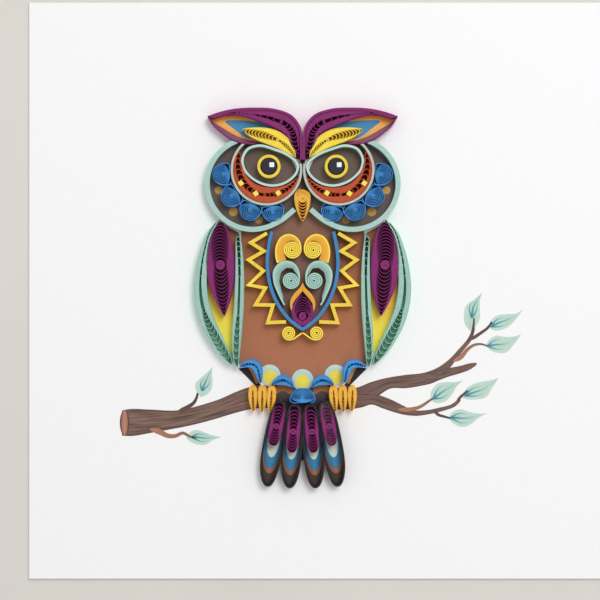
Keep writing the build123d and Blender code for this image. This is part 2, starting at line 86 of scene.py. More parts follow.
# Straight pieces in the round end of a turn and in an outer tip
CAP_PIECES = 7
TIP_PIECES = 10
# How much longer the round end of a turn is than half of its width
CAP_STRETCH = 1.2
# Length of a straight piece along a side, in a spiral and in a tight middle
RUN_PIECE = 0.8
SPIRAL_PIECE = 0.25
CORE_PIECE = 0.3
# The longest such piece of a spiral and of a tight middle, as a share of a turn
SPIRAL_SHARE = 0.035
CORE_SHARE = 0.08
# Half width that a shape keeps at its tips, so that each face has some area
TIP_LEAST = 0.02
# Share of the distance that a moved point has to keep from its path, or else it is in a loop
LOOP_SHARE = 0.97
# Side of the small squares glued on the strips
CHIP_SIZE = 1.25

# The photograph's frame: millimetres to a pixel, and the pixel over the card's middle
PHOTO_SCALE = 0.2646
PHOTO_MIDDLE = (316.4, 290.7)


# Lines


def direction(start: Point, end: Point) -> Point:
    """Return the unit vector from one point to another."""
    length = hypot(end[0] - start[0], end[1] - start[1]) or 1.0
    return (end[0] - start[0]) / length, (end[1] - start[1]) / length


def spots(*pixels: Point) -> Path:
    """Return points of the printed picture, measured on the photograph, in the card's frame."""
    return [
        ((x - PHOTO_MIDDLE[0]) * PHOTO_SCALE, (PHOTO_MIDDLE[1] - y) * PHOTO_SCALE)
        for x, y in pixels
    ]


def arc(centre: Point, radius: float, start: float, end: float, pieces: int) -> Path:
    """Return points along an arc.

    Args:
        centre: Middle of the arc.
        radius: Radius of the arc.
        start: Angle of its first point, in degrees.
        end: Angle of its last point, in degrees.
        pieces: How many equal pieces it has.

    Returns:
        The points from the first to the last.
    """
    turns = [radians(start + (end - start) * i / pieces) for i in range(pieces + 1)]
    return [(centre[0] + radius * cos(t), centre[1] + radius * sin(t)) for t in turns]


def circle(centre: Point, radius: float, corners: int = 48) -> Path:
    """Return points evenly spaced around a circle."""
    return arc(centre, radius, 0, 360, corners)[:-1]


def swell(share: float, widest: float, powers: Point) -> float:
    """Return how full a leaf shape is at a share of its length.

    Args:
        share: Share of the length.
        widest: Share of the length where the shape is widest.
        powers: How its two ends close: about 0.4 is blunt, 1 a lens, and more a thin tip.

    Returns:
        1 at the widest place, and 0 at both tips.
    """
    reach, power = (widest, powers[0]) if share < widest else (1 - widest, powers[1])
    return max(0.0, 1 - ((share - widest) / reach) ** 2) ** power


def crowd(count: int) -> list[float]:
    """Return shares from 0 to 1 that crowd at both ends, for the round tips of a shape."""
    shares = [(1 - cos(pi * i / count)) / 2 for i in range(count + 1)]
    return [(1 - cos(pi * share)) / 2 for share in shares]


def blend(values: Sequence[float], share: float) -> float:
    """Return the value at a share of the way through evenly spaced values.

    Args:
        values: The values.
        share: Share of the way, from 0 to 1.

    Returns:
        The value there, eased between its two neighbours.
    """
    place = min(max(share, 0.0), 1.0) * (len(values) - 1)
    i = min(int(place), len(values) - 2)
    part = (1 - cos(pi * (place - i))) / 2
    return values[i] + (values[i + 1] - values[i]) * part


class Line:
    """A smooth line through a few points, read by its share of length."""

    def __init__(self, points: Sequence[Point], closed: bool = False, fineness: int = 14) -> None:
        """Draw the line.

        Args:
            points: Points that it passes through.
            closed: Whether it returns to its first point.
            fineness: Short straight pieces between two of the points.
        """
        self.run = self._round(list(points), closed, fineness)
        self.marks = [0.0]
        for before, after in zip(self.run, self.run[1:]):
            step = hypot(after[0] - before[0], after[1] - before[1])
            self.marks.append(self.marks[-1] + step)
        self.length = self.marks[-1]

    @staticmethod
    def _slopes(points: Path, closed: bool) -> Path:
        """Return the line's direction at each of its points, per millimetre.

        Args:
            points: The line's points.
            closed: Whether it returns to its first point.

        Returns:
            One slope for each point.
        """
        count = len(points)
        slopes: Path = []
        for i, here in enumerate(points):
            if not closed and i in (0, count - 1):
                slopes.append((0.0, 0.0))
                continue
            before, after = points[i - 1], points[(i + 1) % count]
            back = hypot(here[0] - before[0], here[1] - before[1])
            ahead = hypot(after[0] - here[0], after[1] - here[1])
            slope = [
                ((here[k] - before[k]) / back * ahead + (after[k] - here[k]) / ahead * back)
                / (back + ahead)
                for k in (0, 1)
            ]
            slopes.append((slope[0], slope[1]))
        if not closed:
            for i, inner in ((0, 1), (count - 1, count - 2)):
                first, last = (points[0], points[1]) if i == 0 else (points[-2], points[-1])
                chord = direction(first, last)
                bend = slopes[inner] if count > 2 else chord
                slopes[i] = (2 * chord[0] - bend[0], 2 * chord[1] - bend[1])
        return slopes

    @classmethod
    def _round(cls, points: Path, closed: bool, fineness: int) -> Path:
        """Return many points along the smooth line.

        Args:
            points: The line's points.
            closed: Whether it returns to its first point.
            fineness: Short straight pieces between two of the points.

        Returns:
            The points, which end with the first one where the line is closed.
        """
        slopes = cls._slopes(points, closed)
        run: Path = []
        for i in range(len(points) if closed else len(points) - 1):
            j = (i + 1) % len(points)
            start, end = points[i], points[j]
            span = hypot(end[0] - start[0], end[1] - start[1])
            for step in range(fineness):
                t = step / fineness
                weights = (
                    2 * t**3 - 3 * t**2 + 1,
                    (t**3 - 2 * t**2 + t) * span,
                    3 * t**2 - 2 * t**3,
                    (t**3 - t**2) * span,
                )
                parts = (start, slopes[i], end, slopes[j])
                x, y = (sum(w * part[k] for w, part in zip(weights, parts)) for k in (0, 1))
                run.append((x, y))
        run.append(points[0] if closed else points[-1])
        return run

    def aside(self, share: float, distance: float = 0.0) -> Point:
        """Return the point at a share of the line, a distance to its left.

        Args:
            share: Share of its length.
            distance: The distance, or to its right below 0.

        Returns:
            The point.
        """
        spot = min(max(share, 0.0), 1.0) * self.length
        i = min(max(bisect_left(self.marks, spot), 1), len(self.run) - 1)
        start, end = self.run[i - 1], self.run[i]
        part = (spot - self.marks[i - 1]) / ((self.marks[i] - self.marks[i - 1]) or 1.0)
        before = direction(self.run[max(i - 2, 0)], end)
        after = direction(start, self.run[min(i + 1, len(self.run) - 1)])
        along = direction((0, 0), tuple(b + (a - b) * part for a, b in zip(after, before)))
        x, y = (s + (e - s) * part for s, e in zip(start, end))
        return x - along[1] * distance, y + along[0] * distance

    def points(self, count: int, distance: float = 0.0) -> Path:
        """Return points evenly spaced along the line, a distance to its left."""
        return [self.aside(i / (count - 1), distance) for i in range(count)]


def sidestep(path: Sequence[Point], distance: float, closed: bool = False) -> Path:
    """Return a path moved to its left, without the loops that a tight corner would give.

    Args:
        path: Points of the path.
        distance: How far it moves.
        closed: Whether the path returns to its first point.

    Returns:
        The moved points.
    """
    moved: Path = []
    last = len(path) - 1
    for i, point in enumerate(path):
        before = path[i - 1] if i > 0 or closed else None
        after = path[(i + 1) % len(path)] if i < last or closed else None
        ahead = direction(point, after) if after else direction(before, point)
        behind = direction(before, point) if before else ahead
        share = max(1 + ahead[0] * behind[0] + ahead[1] * behind[1], 0.5)
        x = point[0] - distance * (ahead[1] + behind[1]) / share
        y = point[1] + distance * (ahead[0] + behind[0]) / share
        moved.append((x, y))
    least = abs(distance) * LOOP_SHARE
    return [
        spot for spot in moved if all(hypot(spot[0] - x, spot[1] - y) >= least for x, y in path)
    ]


def bundle(path: Path, width: float, closed: bool = False) -> list[Path]:
    """Return the lines of strips glued side by side, from a path to its left.

    Args:
        path: Outer edge of the bundle.
        width: Width of the whole bundle. It lies to the path's right where it is negative.
        closed: Whether the path returns to its first point.

    Returns:
        One path for the middle of each strip.
    """
    count = max(1, round(abs(width) / PITCH))
    return [sidestep(path, width * (i + 0.5) / count, closed) for i in range(count)]


def beside(line: Line, half: Callable[[float], float]) -> Band:
    """Return the two edges of a band about a line.

    Args:
        line: Middle of the band.
        half: Gives half of the band's width at a share of its length.

    Returns:
        The edge on the line's right and the edge on its left.
    """
    return (
        lambda share: line.aside(share, -half(share)),
        lambda share: line.aside(share, half(share)),
    )


def spiral(arrival: Path, centre: Point, pitch: float, least: float = 0.2) -> Path:
    """Return a path that winds in about a centre from the end of another path.

    Args:
        arrival: Path that it goes on from.
        centre: Middle of the winding.
        pitch: How far it comes in with each turn.
        least: Radius where it stops.

    Returns:
        The points after the end of the other path.
    """
    dx, dy = arrival[-1][0] - centre[0], arrival[-1][1] - centre[1]
    heading = direction(arrival[-2], arrival[-1])
    way = 1 if dx * heading[1] - dy * heading[0] > 0 else -1
    radius, start = hypot(dx, dy), atan2(dy, dx)
    path: Path = []
    turn = 0.0
    while radius - pitch * turn > least:
        reach = radius - pitch * turn
        turn += min(SPIRAL_SHARE, SPIRAL_PIECE / (2 * pi * reach))
        reach = radius - pitch * turn
        angle = start + way * 2 * pi * turn
        path.append((centre[0] + reach * cos(angle), centre[1] + reach * sin(angle)))
    return path


@dataclass(frozen=True)
class Coil:
    """A strip coiled loosely into a leaf shape, with its tight middle pulled to one place.

    The turns lie close together along both sides and cross over in round arcs at their ends.

    Attributes:
        spine: Points along its middle, or along the edge that it lies against.
        half_width: Half of its width where it is widest.
        widest: Share of its length where it is widest.
        powers: How its two ends close, as for swell.
        turns: Loose turns about the tight middle.
        core: Radius of the tight middle.
        core_at: Share of its length where that middle is, or None for the widest place.
        spreads: For its arms before and past the middle: 1 spreads the arcs evenly along the
            arm, more crowds them at the middle, and less takes them out towards the tip.
        side: 0 where the spine is its middle, or else the side of the edge it lies on.
        inset: Its distance from that edge.
        span: First and last share of the spine that it takes up.
        loose: Whether its turns spread over its whole width, and not only along the sides.
        paper: Thickness of its paper.
    """

    spine: Sequence[Point]
    half_width: float
    widest: float = 0.5
    powers: Point = (0.6, 0.6)
    turns: int = 6
    core: float = 0.5
    core_at: float | None = None
    spreads: Point = (1.0, 1.0)
    side: int = 0
    inset: float = 0.0
    span: Point = (0.0, 1.0)
    loose: bool = False
    paper: float = PAPER

    @cached_property
    def line(self) -> Line:
        """The smooth line through the spine's points."""
        return Line(self.spine)

    @property
    def length(self) -> float:
        """Length of the coil from tip to tip."""
        return self.line.length * (self.span[1] - self.span[0])

    @property
    def middle(self) -> float:
        """Share of the length where the tight middle is."""
        return self.widest if self.core_at is None else self.core_at

    @property
    def pitch(self) -> float:
        """Distance between two turns along the sides."""
        even = (self.half_width - PAPER / 2 - self.core) / self.turns
        return even if self.loose else min(self.paper + GAP, even)

    def _body(self, share: float, lost: float) -> float:
        """Return half of the width of a turn, with the turns lost outside it."""
        outer = self.half_width - PAPER / 2
        return outer * swell(share, self.widest, self.powers) - lost * self.pitch

    def _spot(self, share: float, across: float) -> Point:
        """Return the point at a share of the coil's length and a distance across it.

        Args:
            share: Share of its length.
            across: Distance to the left of its middle.

        Returns:
            The point.
        """
        where = self.span[0] + share * (self.span[1] - self.span[0])
        if self.side:
            half = PAPER / 2 + max(self._body(share, 0), PAPER / 2)
            across += self.side * (self.inset + half)
        return self.line.aside(where, across)

    def _tip(self, way: int, lost: int) -> float:
        """Return how far from the middle a turn has its tip.

        Args:
            way: 1 for the tip past the middle, and -1 for the one before it.
            lost: How many turns lie outside it.

        Returns:
            The distance along the coil.
        """
        arm = (1 - self.middle if way > 0 else self.middle) * self.length
        full = arm - PAPER / 2
        spread = self.spreads[way > 0]
        far = self.core + (full - self.core) * (1 - lost / self.turns) ** spread
        step = PAPER / 3
        while lost and far > self.core:
            if self._body(self.middle + way * far / self.length, lost) >= PAPER:
                break
            far -= step
        return max(far, self.core)

    def outline(self, stations: int = 40) -> Path:
        """Return the edge of its outermost turn.

        Args:
            stations: Pieces along each side.

        Returns:
            One closed path.
        """
        shares = crowd(stations)
        halves = [max(self._body(share, 0), TIP_LEAST) for share in shares]
        near = [self._spot(share, -half) for share, half in zip(shares, halves)]
        return near + [self._spot(share, half) for share, half in zip(shares, halves)][::-1]

    def _losses(self, half_turn: int) -> tuple[int, int]:
        """Return how many turns lie outside each tip of a half turn.

        Args:
            half_turn: Number of the half turn, from 0 at the strip's outer end.

        Returns:
            The turns outside its first tip, and outside its last.
        """
        if self.loose and half_turn == 1:
            return 0, 0
        return half_turn // 2, (half_turn + 1) // 2

    def _marks(self, way: int, losses: tuple[int, int], tips: Point) -> Path:
        """Return the places that one half turn passes through.

        Args:
            way: 1 where it runs towards the end of the coil, and -1 where it runs back.
            losses: How many turns lie outside its first tip, and outside its last.
            tips: How far its two tips are from the middle.

        Returns:
            For each place, how far past the middle it is and its share of the full half width.
        """
        caps = []
        for sign, tip, lost in zip((-way, way), tips, losses):
            body = self._body(self.middle + sign * tip / self.length, lost)
            cap = max(CAP_STRETCH * body, PAPER) if lost else self.half_width
            caps.append(min(tip, cap))
        runs = [tip - cap for tip, cap in zip(tips, caps)]
        turns = [pi / 2 * i / CAP_PIECES for i in range(CAP_PIECES)]
        parts = [i / TIP_PIECES for i in range(TIP_PIECES)]
        if losses[0]:
            marks = [(-runs[0] - caps[0] * cos(turn), sin(turn)) for turn in turns]
        else:
            marks = [(-tips[0] + caps[0] * part**3, 1.0) for part in parts]
        pieces = max(1, int(sum(runs) / RUN_PIECE))
        marks += [(-runs[0] + sum(runs) * i / pieces, 1.0) for i in range(pieces)]
        if losses[1]:
            marks += [(runs[1] + caps[1] * sin(turn), cos(turn)) for turn in turns]
        else:
            marks += [(tips[1] - caps[1] * (1 - part) ** 3, 1.0) for part in parts]
        return marks

    def _heart(self) -> Path:
        """Return the tight turns of the middle.

        Returns:
            The path from the last loose turn inwards.
        """
        path: Path = []
        turn, radius = 0.0, self.core
        while radius > PITCH:
            share = self.middle - radius * cos(2 * pi * turn) / self.length
            path.append(self._spot(share, -radius * sin(2 * pi * turn)))
            turn += min(CORE_SHARE, CORE_PIECE / (2 * pi * radius))
            radius = self.core - PITCH * turn
        return path

    def path(self) -> Path:
        """Return the line that the strip follows.

        Returns:
            The path from its outer end to its middle.
        """
        path: Path = []
        for half_turn in range(2 * self.turns):
            way = 1 if half_turn % 2 == 0 else -1
            losses = self._losses(half_turn)
            tips = (self._tip(-way, losses[0]), self._tip(way, losses[1]))
            for distance, cap in self._marks(way, losses, tips):
                share = self.middle + way * distance / self.length
                turn = (half_turn + (distance + tips[0]) / sum(tips)) / 2
                lost = turn if turn > 1 else max(0.0, 2 * turn - 1)
                if self.loose:
                    lost = max(0.0, turn - 1) * self.turns / (self.turns - 1)
                half = max(self._body(share, lost), PAPER / 2) * cap
                path.append(self._spot(share, -way * half))
        return path + self._heart()


@dataclass(frozen=True)
class Leaf:
    """A closed leaf shape about a spine.

    Attributes:
        spine: Points along its middle.
        half_width: Half of its width where it is widest.
        widest: Share of its length where it is widest.
        powers: How its two ends close, as for swell.
    """

    spine: Sequence[Point]
    half_width: float
    widest: float
    powers: Point

    def outline(self, stations: int = 36) -> Path:
        """Return its edge.

        Args:
            stations: Pieces along each side.

        Returns:
            One closed path, counter-clockwise.
        """
        line = Line(self.spine)
        shares = crowd(stations)
        halves = [self.half_width * swell(share, self.widest, self.powers) for share in shares]
        right = [line.aside(share, -half) for share, half in zip(shares, halves)]
        left = [line.aside(share, half) for share, half in zip(shares, halves)]
        return right + left[-2:0:-1]


def on_card(points: Iterable[Point], side: int = 1) -> Path:
    """Return points of the owl's right half in the card's frame, mirrored for its left."""
    return [(OWL_X + side * x, y) for x, y in points]


def both_sides(paths: Iterable[Sequence[Point]]) -> list[Path]:
    """Return each path on the owl's right and its mirror image on the left."""
    return [on_card(path, side) for path in paths for side in SIDES.values()]


def whole(half: Sequence[Point]) -> Path:
    """Return a symmetric line from its right half, listed from the top down."""
    return [*half, *((-x, y) for x, y in half[::-1] if x > 0)]


# Finishes


# Roughness of the surfaces, and how deep their fibres are, in metres
PAPER_ROUGHNESS = 0.62
PRINT_ROUGHNESS = 0.5
CARD_ROUGHNESS = 0.7
PAPER_DEPTH = 0.00002
PRINT_DEPTH = 0.00001
CARD_DEPTH = 0.000015
# Patterns to a metre of the paper's mottle and of its fibres, and the fibres' turn in degrees
CLOUD_SCALE = (700, 700, 700)
FIBRE_SCALE = (5200, 3100, 3100)
FIBRE_TURN = 20


def tint(code: str) -> Color:
    """Return a linear colour.

    Args:
        code: Its hexadecimal code, such as 6e1950.

    Returns:
        Red, green, blue and an alpha of 1.
    """
    shares = [int(code[i : i + 2], 16) / 255 for i in (0, 2, 4)]
    red, green, blue = (
        share / 12.92 if share <= 0.04045 else ((share + 0.055) / 1.055) ** 2.4 for share in shares
    )
    return red, green, blue, 1.0


class Nodes:
    """The node tree of one material, with short ways to add what the finishes need."""

    def __init__(self, name: str, roughness: float) -> None:
        """Start a material of one rough surface.

        Args:
            name: Name of the material.
            roughness: Roughness all over the surface.
        """
        self.material = bpy.data.materials.new(name)
        self.material.use_nodes = True
        self.tree = self.material.node_tree
        self.surface = self.tree.nodes["Principled BSDF"]
        self.surface.inputs["Roughness"].default_value = roughness
        self.surface.inputs["Specular IOR Level"].default_value = 0.3

    def add(self, kind: str, **settings: object) -> bpy.types.Node:
        """Add a node and set its properties.

        Args:
            kind: Kind of the node.
            **settings: Value of each property.

        Returns:
            The node.
        """
        node = self.tree.nodes.new(kind)
        for key, value in settings.items():
            setattr(node, key, value)
        return node

    def link(self, start: Socket, end: Socket) -> None:
        """Link an output to an input."""
        self.tree.links.new(start, end)

    def place(
        self, output: str, scale: Sequence[float] = (1, 1, 1), turn: float = 0.0
    ) -> Socket:
        """Return where a surface point is, scaled and turned for a pattern.

        Args:
            output: Texture coordinate, "Object" in metres or "UV".
            scale: Scale of the three directions.
            turn: Turn about the upright, in degrees.

        Returns:
            The socket that gives the place.
        """
        spot = self.add("ShaderNodeTexCoord")
        mapping = self.add("ShaderNodeMapping")
        mapping.inputs["Scale"].default_value = scale
        mapping.inputs["Rotation"].default_value = (0, 0, radians(turn))
        self.link(spot.outputs[output], mapping.inputs["Vector"])
        return mapping.outputs["Vector"]

    def noise(self, place: Socket, detail: float = 3.0) -> Socket:
        """Return soft noise, from about 0.3 to 0.7, of one unit's size.

        Args:
            place: Where a surface point is.
            detail: How many finer layers it has.

        Returns:
            The socket that gives the noise.
        """
        noise = self.add("ShaderNodeTexNoise")
        noise.inputs["Scale"].default_value = 1.0
        noise.inputs["Detail"].default_value = detail
        self.link(place, noise.inputs["Vector"])
        return noise.outputs["Fac"]

    def math(self, operation: str, *values: Socket | float) -> Socket:
        """Return what an operation gives.

        Args:
            operation: Name of the operation.
            *values: Sockets or numbers that it takes.

        Returns:
            The socket that gives the result.
        """
        node = self.add("ShaderNodeMath", operation=operation)
        for socket, value in zip(node.inputs, values):
            if isinstance(value, (int, float)):
                socket.default_value = value
            else:
                self.link(value, socket)
        return node.outputs["Value"]

    def ramp(self, value: Socket, stops: dict[float, str]) -> Socket:
        """Return the colour that a value has on a scale of colours.

        Args:
            value: The value, from 0 to 1.
            stops: Hexadecimal colour at each place of the scale.

        Returns:
            The socket that gives the colour.
        """
        ramp = self.add("ShaderNodeValToRGB")
        elements = ramp.color_ramp.elements
        while len(elements) < len(stops):
            elements.new(0.5)
        for element, (place, code) in zip(elements, sorted(stops.items())):
            element.position = place
            element.color = tint(code)
        self.link(value, ramp.inputs["Fac"])
        return ramp.outputs["Color"]

    def span(self, value: Socket, start: Point, end: Point = (0.0, 1.0)) -> Socket:
        """Move a value from one range to another, and keep it inside.

        Args:
            value: The value.
            start: The range that it comes from.
            end: The range that it goes to.

        Returns:
            The socket that gives the moved value.
        """
        span = self.add("ShaderNodeMapRange")
        for key, number in zip(("From Min", "From Max", "To Min", "To Max"), (*start, *end)):
            span.inputs[key].default_value = number
        self.link(value, span.inputs["Value"])
        return span.outputs["Result"]

    def mix(self, share: Socket, first: Socket | Color, second: Socket | Color) -> Socket:
        """Mix two colours.

        Args:
            share: Share of the second colour.
            first: The first colour.
            second: The second colour.

        Returns:
            The socket that gives the mix.
        """
        mix = self.add("ShaderNodeMix", data_type="RGBA")
        self.link(share, mix.inputs["Factor"])
        for end, color in (("A", first), ("B", second)):
            socket = next(s for s in mix.inputs if s.name == end and s.type == "RGBA")
            if isinstance(color, tuple):
                socket.default_value = color
            else:
                self.link(color, socket)
        return next(s for s in mix.outputs if s.type == "RGBA")

    def axis(self, place: Socket, name: str) -> Socket:
        """Return one of the three numbers of a place or a direction.

        Args:
            place: The place or direction.
            name: Letter of the number.

        Returns:
            The socket that gives the number.
        """
        split = self.add("ShaderNodeSeparateXYZ")
        self.link(place, split.inputs["Vector"])
        return split.outputs[name]

    def finish(self, color: Socket, mottle: float, depth: float) -> bpy.types.Material:
        """Put a colour on the surface with the paper's mottle and fibres.

        Args:
            color: The colour before them.
            mottle: How much lighter and darker it gets from place to place.
            depth: How deep the fibres are, in metres.

        Returns:
            The finished material.
        """
        cloud = self.noise(self.place("Object", CLOUD_SCALE))
        fibre = self.noise(self.place("Object", FIBRE_SCALE, FIBRE_TURN), 2.0)
        value = self.span(self.math("ADD", cloud, fibre), (0.7, 1.3), (1 - mottle, 1 + mottle))
        shade = self.add("ShaderNodeHueSaturation")
        self.link(value, shade.inputs["Value"])
        self.link(color, shade.inputs["Color"])
        self.link(shade.outputs["Color"], self.surface.inputs["Base Color"])
        bump = self.add("ShaderNodeBump")
        bump.inputs["Distance"].default_value = depth
        self.link(fibre, bump.inputs["Height"])
        self.link(bump.outputs["Normal"], self.surface.inputs["Normal"])
        return self.material


@dataclass(frozen=True)
class CardBoard:
    """The white card itself.

    Attributes:
        name: Name of the finish.
        color: Its white.
        shade: The faint grey of its fibres.
    """

    name: str
    color: str
    shade: str

    def build(self) -> bpy.types.Material:
        """Return the finish as a material.

        Returns:
            The material.
        """
        nodes = Nodes(self.name, CARD_ROUGHNESS)
        fibre = nodes.noise(nodes.place("Object", (900, 2600, 900), 12), 5.0)
        color = nodes.ramp(fibre, {0.3: self.shade, 0.62: self.color})
        return nodes.finish(color, 0.006, CARD_DEPTH)


@dataclass(frozen=True)
class Finish:
    """What a piece is made of or printed with.

    Attributes:
        name: Name of the finish.
        slot: Material slot of the finish. It is not used in this script.
    """

    name: str
    slot: str

    def build(self) -> bpy.types.Material:
        """Return the finish as a material."""
        raise NotImplementedError


@dataclass(frozen=True)
class StripPaper(Finish):
    """Coloured paper of the quilling strips, with painted light: its top and its sides get different
    colours by which way they face.

    Attributes:
        edge: Colour of the cut edge, which is what shows from above: the paper's colour with painted
            light, as lit from above.
        face: Colour of the paper's face on the strip's sides: the paper's colour with painted light
            and shade, set for how the sides look down in the shaded slits between turns.
        roughness: Roughness of the paper.
    """

    edge: str
    face: str
    roughness: float = PAPER_ROUGHNESS

    def build(self) -> bpy.types.Material:
        """Return the finish as a material.

        Returns:
            The material.
        """
        nodes = Nodes(self.name, self.roughness)
        geometry = nodes.add("ShaderNodeNewGeometry")
        # Painted light: faces that point up get the lit top colour, and the sides get the colour set
        # for the shaded slits.
        lit_top_share = nodes.span(nodes.axis(geometry.outputs["True Normal"], "Z"), (0.5, 0.95))
        color = nodes.mix(lit_top_share, tint(self.face), tint(self.edge))
        return nodes.finish(color, 0.07, PAPER_DEPTH)


@dataclass(frozen=True)
class Sheaf(Finish):
    """Strips glued side by side, seen from above as fine lines that follow the piece.

    Attributes:
        stops: Hexadecimal colour at each share of the way across.
        line: Colour of the lines between two strips.
        strips: How many strips lie side by side.
    """

    stops: dict[float, str]
    line: str
    strips: int

    def build(self) -> bpy.types.Material:
        """Return the finish as a material.

        Returns:
            The material.
        """
        nodes = Nodes(self.name, PAPER_ROUGHNESS)
        across = nodes.axis(nodes.place("UV"), "Y")
        color = nodes.ramp(across, self.stops)
        part = nodes.math("FRACT", nodes.math("MULTIPLY", across, self.strips))
        lines = nodes.span(part, (0.0, 0.3), (0.7, 0.0))
        return nodes.finish(nodes.mix(lines, color, tint(self.line)), 0.05, PAPER_DEPTH)


class Fade(Enum):
    """Which way a print changes from its first colour to its last."""

    UP = "up the card"
    ALONG = "along each band"
    EDGE = "from the middle of each band to its edges"


@dataclass(frozen=True)
class Print(Finish):
    """A colour printed on the card, which for the fields under the coils is painted shade.

    Attributes:
        stops: Hexadecimal colour at each share of the way through the print.
        rise: Where the first and the last colour are, in millimetres up the card.
        fade: Which way the colours change. Only a fade up the card uses the rise.
    """

    stops: dict[float, str]
    rise: Point = (-10, 10)
    fade: Fade = Fade.UP

    def build(self) -> bpy.types.Material:
        """Return the finish as a material.

        Returns:
            The material.
        """
        nodes = Nodes(self.name, PRINT_ROUGHNESS)
        if self.fade is Fade.UP:
            height = nodes.axis(nodes.place("Object"), "Y")
            share = nodes.span(height, (self.rise[0] * MM, self.rise[1] * MM))
        elif self.fade is Fade.ALONG:
            share = nodes.axis(nodes.place("UV"), "X")
        else:
            across = nodes.axis(nodes.place("UV"), "Y")
            off = nodes.math("ABSOLUTE", nodes.math("SUBTRACT", across, 0.5))
            share = nodes.span(off, (0.0, 0.5))
        return nodes.finish(nodes.ramp(share, self.stops), 0.05, PRINT_DEPTH)


@dataclass(frozen=True)
class Glow(Finish):
    """Printed colour that changes with the distance from the nearest of a few middles.

    Attributes:
        stops: Hexadecimal colour at each share of the radius.
        radius: Distance where the last colour is.
        centres: The middles, in millimetres.
    """

    stops: dict[float, str]
    radius: float
    centres: Sequence[Point]

    def build(self) -> bpy.types.Material:
        """Return the finish as a material.

        Returns:
            The material.
        """
        nodes = Nodes(self.name, PRINT_ROUGHNESS)
        place = nodes.place("Object", (1, 1, 0))
        nearest = None
        for x, y in self.centres:
            gap = nodes.add("ShaderNodeVectorMath", operation="DISTANCE")
            gap.inputs[1].default_value = (x * MM, y * MM, 0)
            nodes.link(place, gap.inputs[0])
            far = gap.outputs["Value"]
            nearest = far if nearest is None else nodes.math("MINIMUM", nearest, far)
        share = nodes.span(nearest, (0.0, self.radius * MM))
        return nodes.finish(nodes.ramp(share, self.stops), 0.04, PRINT_DEPTH)


@dataclass(frozen=True)
class Wood(Finish):
    """Printed bark, with grain that follows the branch.

    Attributes:
        dark: Colour of the grain's lines and of the branch's edges.
        base: Colour between the lines.
        light: Colour of the lightest streaks.
    """

    dark: str
    base: str
    light: str

    def build(self) -> bpy.types.Material:
        """Return the finish as a material.

        Returns:
            The material.
        """
        nodes = Nodes(self.name, PRINT_ROUGHNESS)
        grain = nodes.noise(nodes.place("UV", (4.0, 13.0, 1.0)), 4.0)
        color = nodes.ramp(grain, {0.34: self.dark, 0.47: self.base, 0.6: self.light})
        across = nodes.axis(nodes.place("UV"), "Y")
        right = nodes.axis(nodes.place("Object"), "X")
        darker = (
            nodes.span(across, (0.0, 0.16), (0.8, 0.0)),
            nodes.span(across, (0.86, 1.0), (0.0, 0.7)),
            nodes.span(right, (0.0, 12 * MM), (0.0, 0.22)),
        )
        for share in darker:
            color = nodes.mix(share, color, tint(self.dark))
        return nodes.finish(color, 0.06, PRINT_DEPTH)


WHITE_CARD = CardBoard("white_card", "f9f8f8", "f6f5f5")

# Painted light on the strips: the first colour is the lit top, the second the sides as they look in
# the shaded slits.
MINT = StripPaper("mint_strip", "mint_paper", "a9d3c6", "a6e0cc")
RING_MINT = StripPaper("ring_strip", "mint_paper", "aed1c8", "98c8ba")
RIM_MINT = StripPaper("rim_strip", "mint_paper", "bcd9d1", "a2c8bc")
SOCKET_PALE = StripPaper("socket_strip", "pale_paper", "b9c2b6", "a3b0a2")
PURPLE = StripPaper("purple_strip", "purple_paper", "88276d", "9c227d")
YELLOW = StripPaper("yellow_strip", "yellow_paper", "ffe04c", "ffe46c")
ORANGE = StripPaper("orange_strip", "orange_paper", "f7b944", "ffbc50")
RUST = StripPaper("rust_strip", "rust_paper", "c1522b", "cc4a24")
BLUE = StripPaper("blue_strip", "blue_paper", "4696da", "3a90ee")
SHIELD_BLUE = StripPaper("shield_strip", "blue_paper", "3d8bc4", "2f73ad")
TAIL_BROWN = StripPaper("tail_strip", "brown_paper", "2a2227", "1f1719")
PUPIL = StripPaper("pupil_strip", "black_paper", "24222e", "14131a", 0.45)
GLINT = StripPaper("glint_card", "white_paper", "f4f5fa", "e2e4ec")
STUD = StripPaper("stud_card", "gold_paper", "f8e060", "e0b840")

CROWN_STOPS = {0.0: "f5d850", 0.2: "f0b840", 1.0: "e59a2e"}
CROWN_SHEAF = Sheaf("crown_sheaf", "yellow_paper", CROWN_STOPS, "a86a1c", 9)
HEART_STOPS = {0.0: "bcdccd", 0.3: "a5c6b8", 1.0: "7fa698"}
HEART_SHEAF = Sheaf("heart_sheaf", "mint_paper", HEART_STOPS, "5d8a7d", 9)
FLAME_SHEAF = Sheaf("flame_sheaf", "yellow_paper", {0.0: "efb23e", 1.0: "e39c30"}, "b06c20", 6)

BELLY_STOPS = {0.0: "ae7050", 0.55: "a56544", 1.0: "874e38"}
BELLY_INK = Print("belly_ink", "terracotta_print", BELLY_STOPS, (-24, 22))
CHEST_INK = Print("chest_ink", "chest_print", {0.0: "7f5550", 1.0: "87604f"}, (-8, 20))
BETWEEN_INK = Print("between_ink", "taupe_print", {0.0: "604a44", 1.0: "54383c"}, (22, 34))
FACE_STOPS = {0.0: "604f48", 0.5: "6f5b51", 1.0: "5c4b44"}
FACE_INK = Print("face_ink", "taupe_print", FACE_STOPS, (16, 41))
WING_STOPS = {0.0: "ffe452", 0.35: "fbd042", 0.65: "dc9c30", 1.0: "8a4a34"}
WING_INK = Print("wing_ink", "yellow_print", WING_STOPS, (-13, 16))
EAR_INK = Print("ear_ink", "mauve_print", {0.0: "6b3a58", 0.6: "8c5f70", 1.0: "8a5a6a"}, (36, 43))
EAR_ORANGE_STOPS = {0.0: "fab052", 0.6: "ffbe58", 1.0: "ec9c4c"}
EAR_ORANGE_INK = Print("ear_orange_ink", "orange_print", EAR_ORANGE_STOPS, (41, 46))
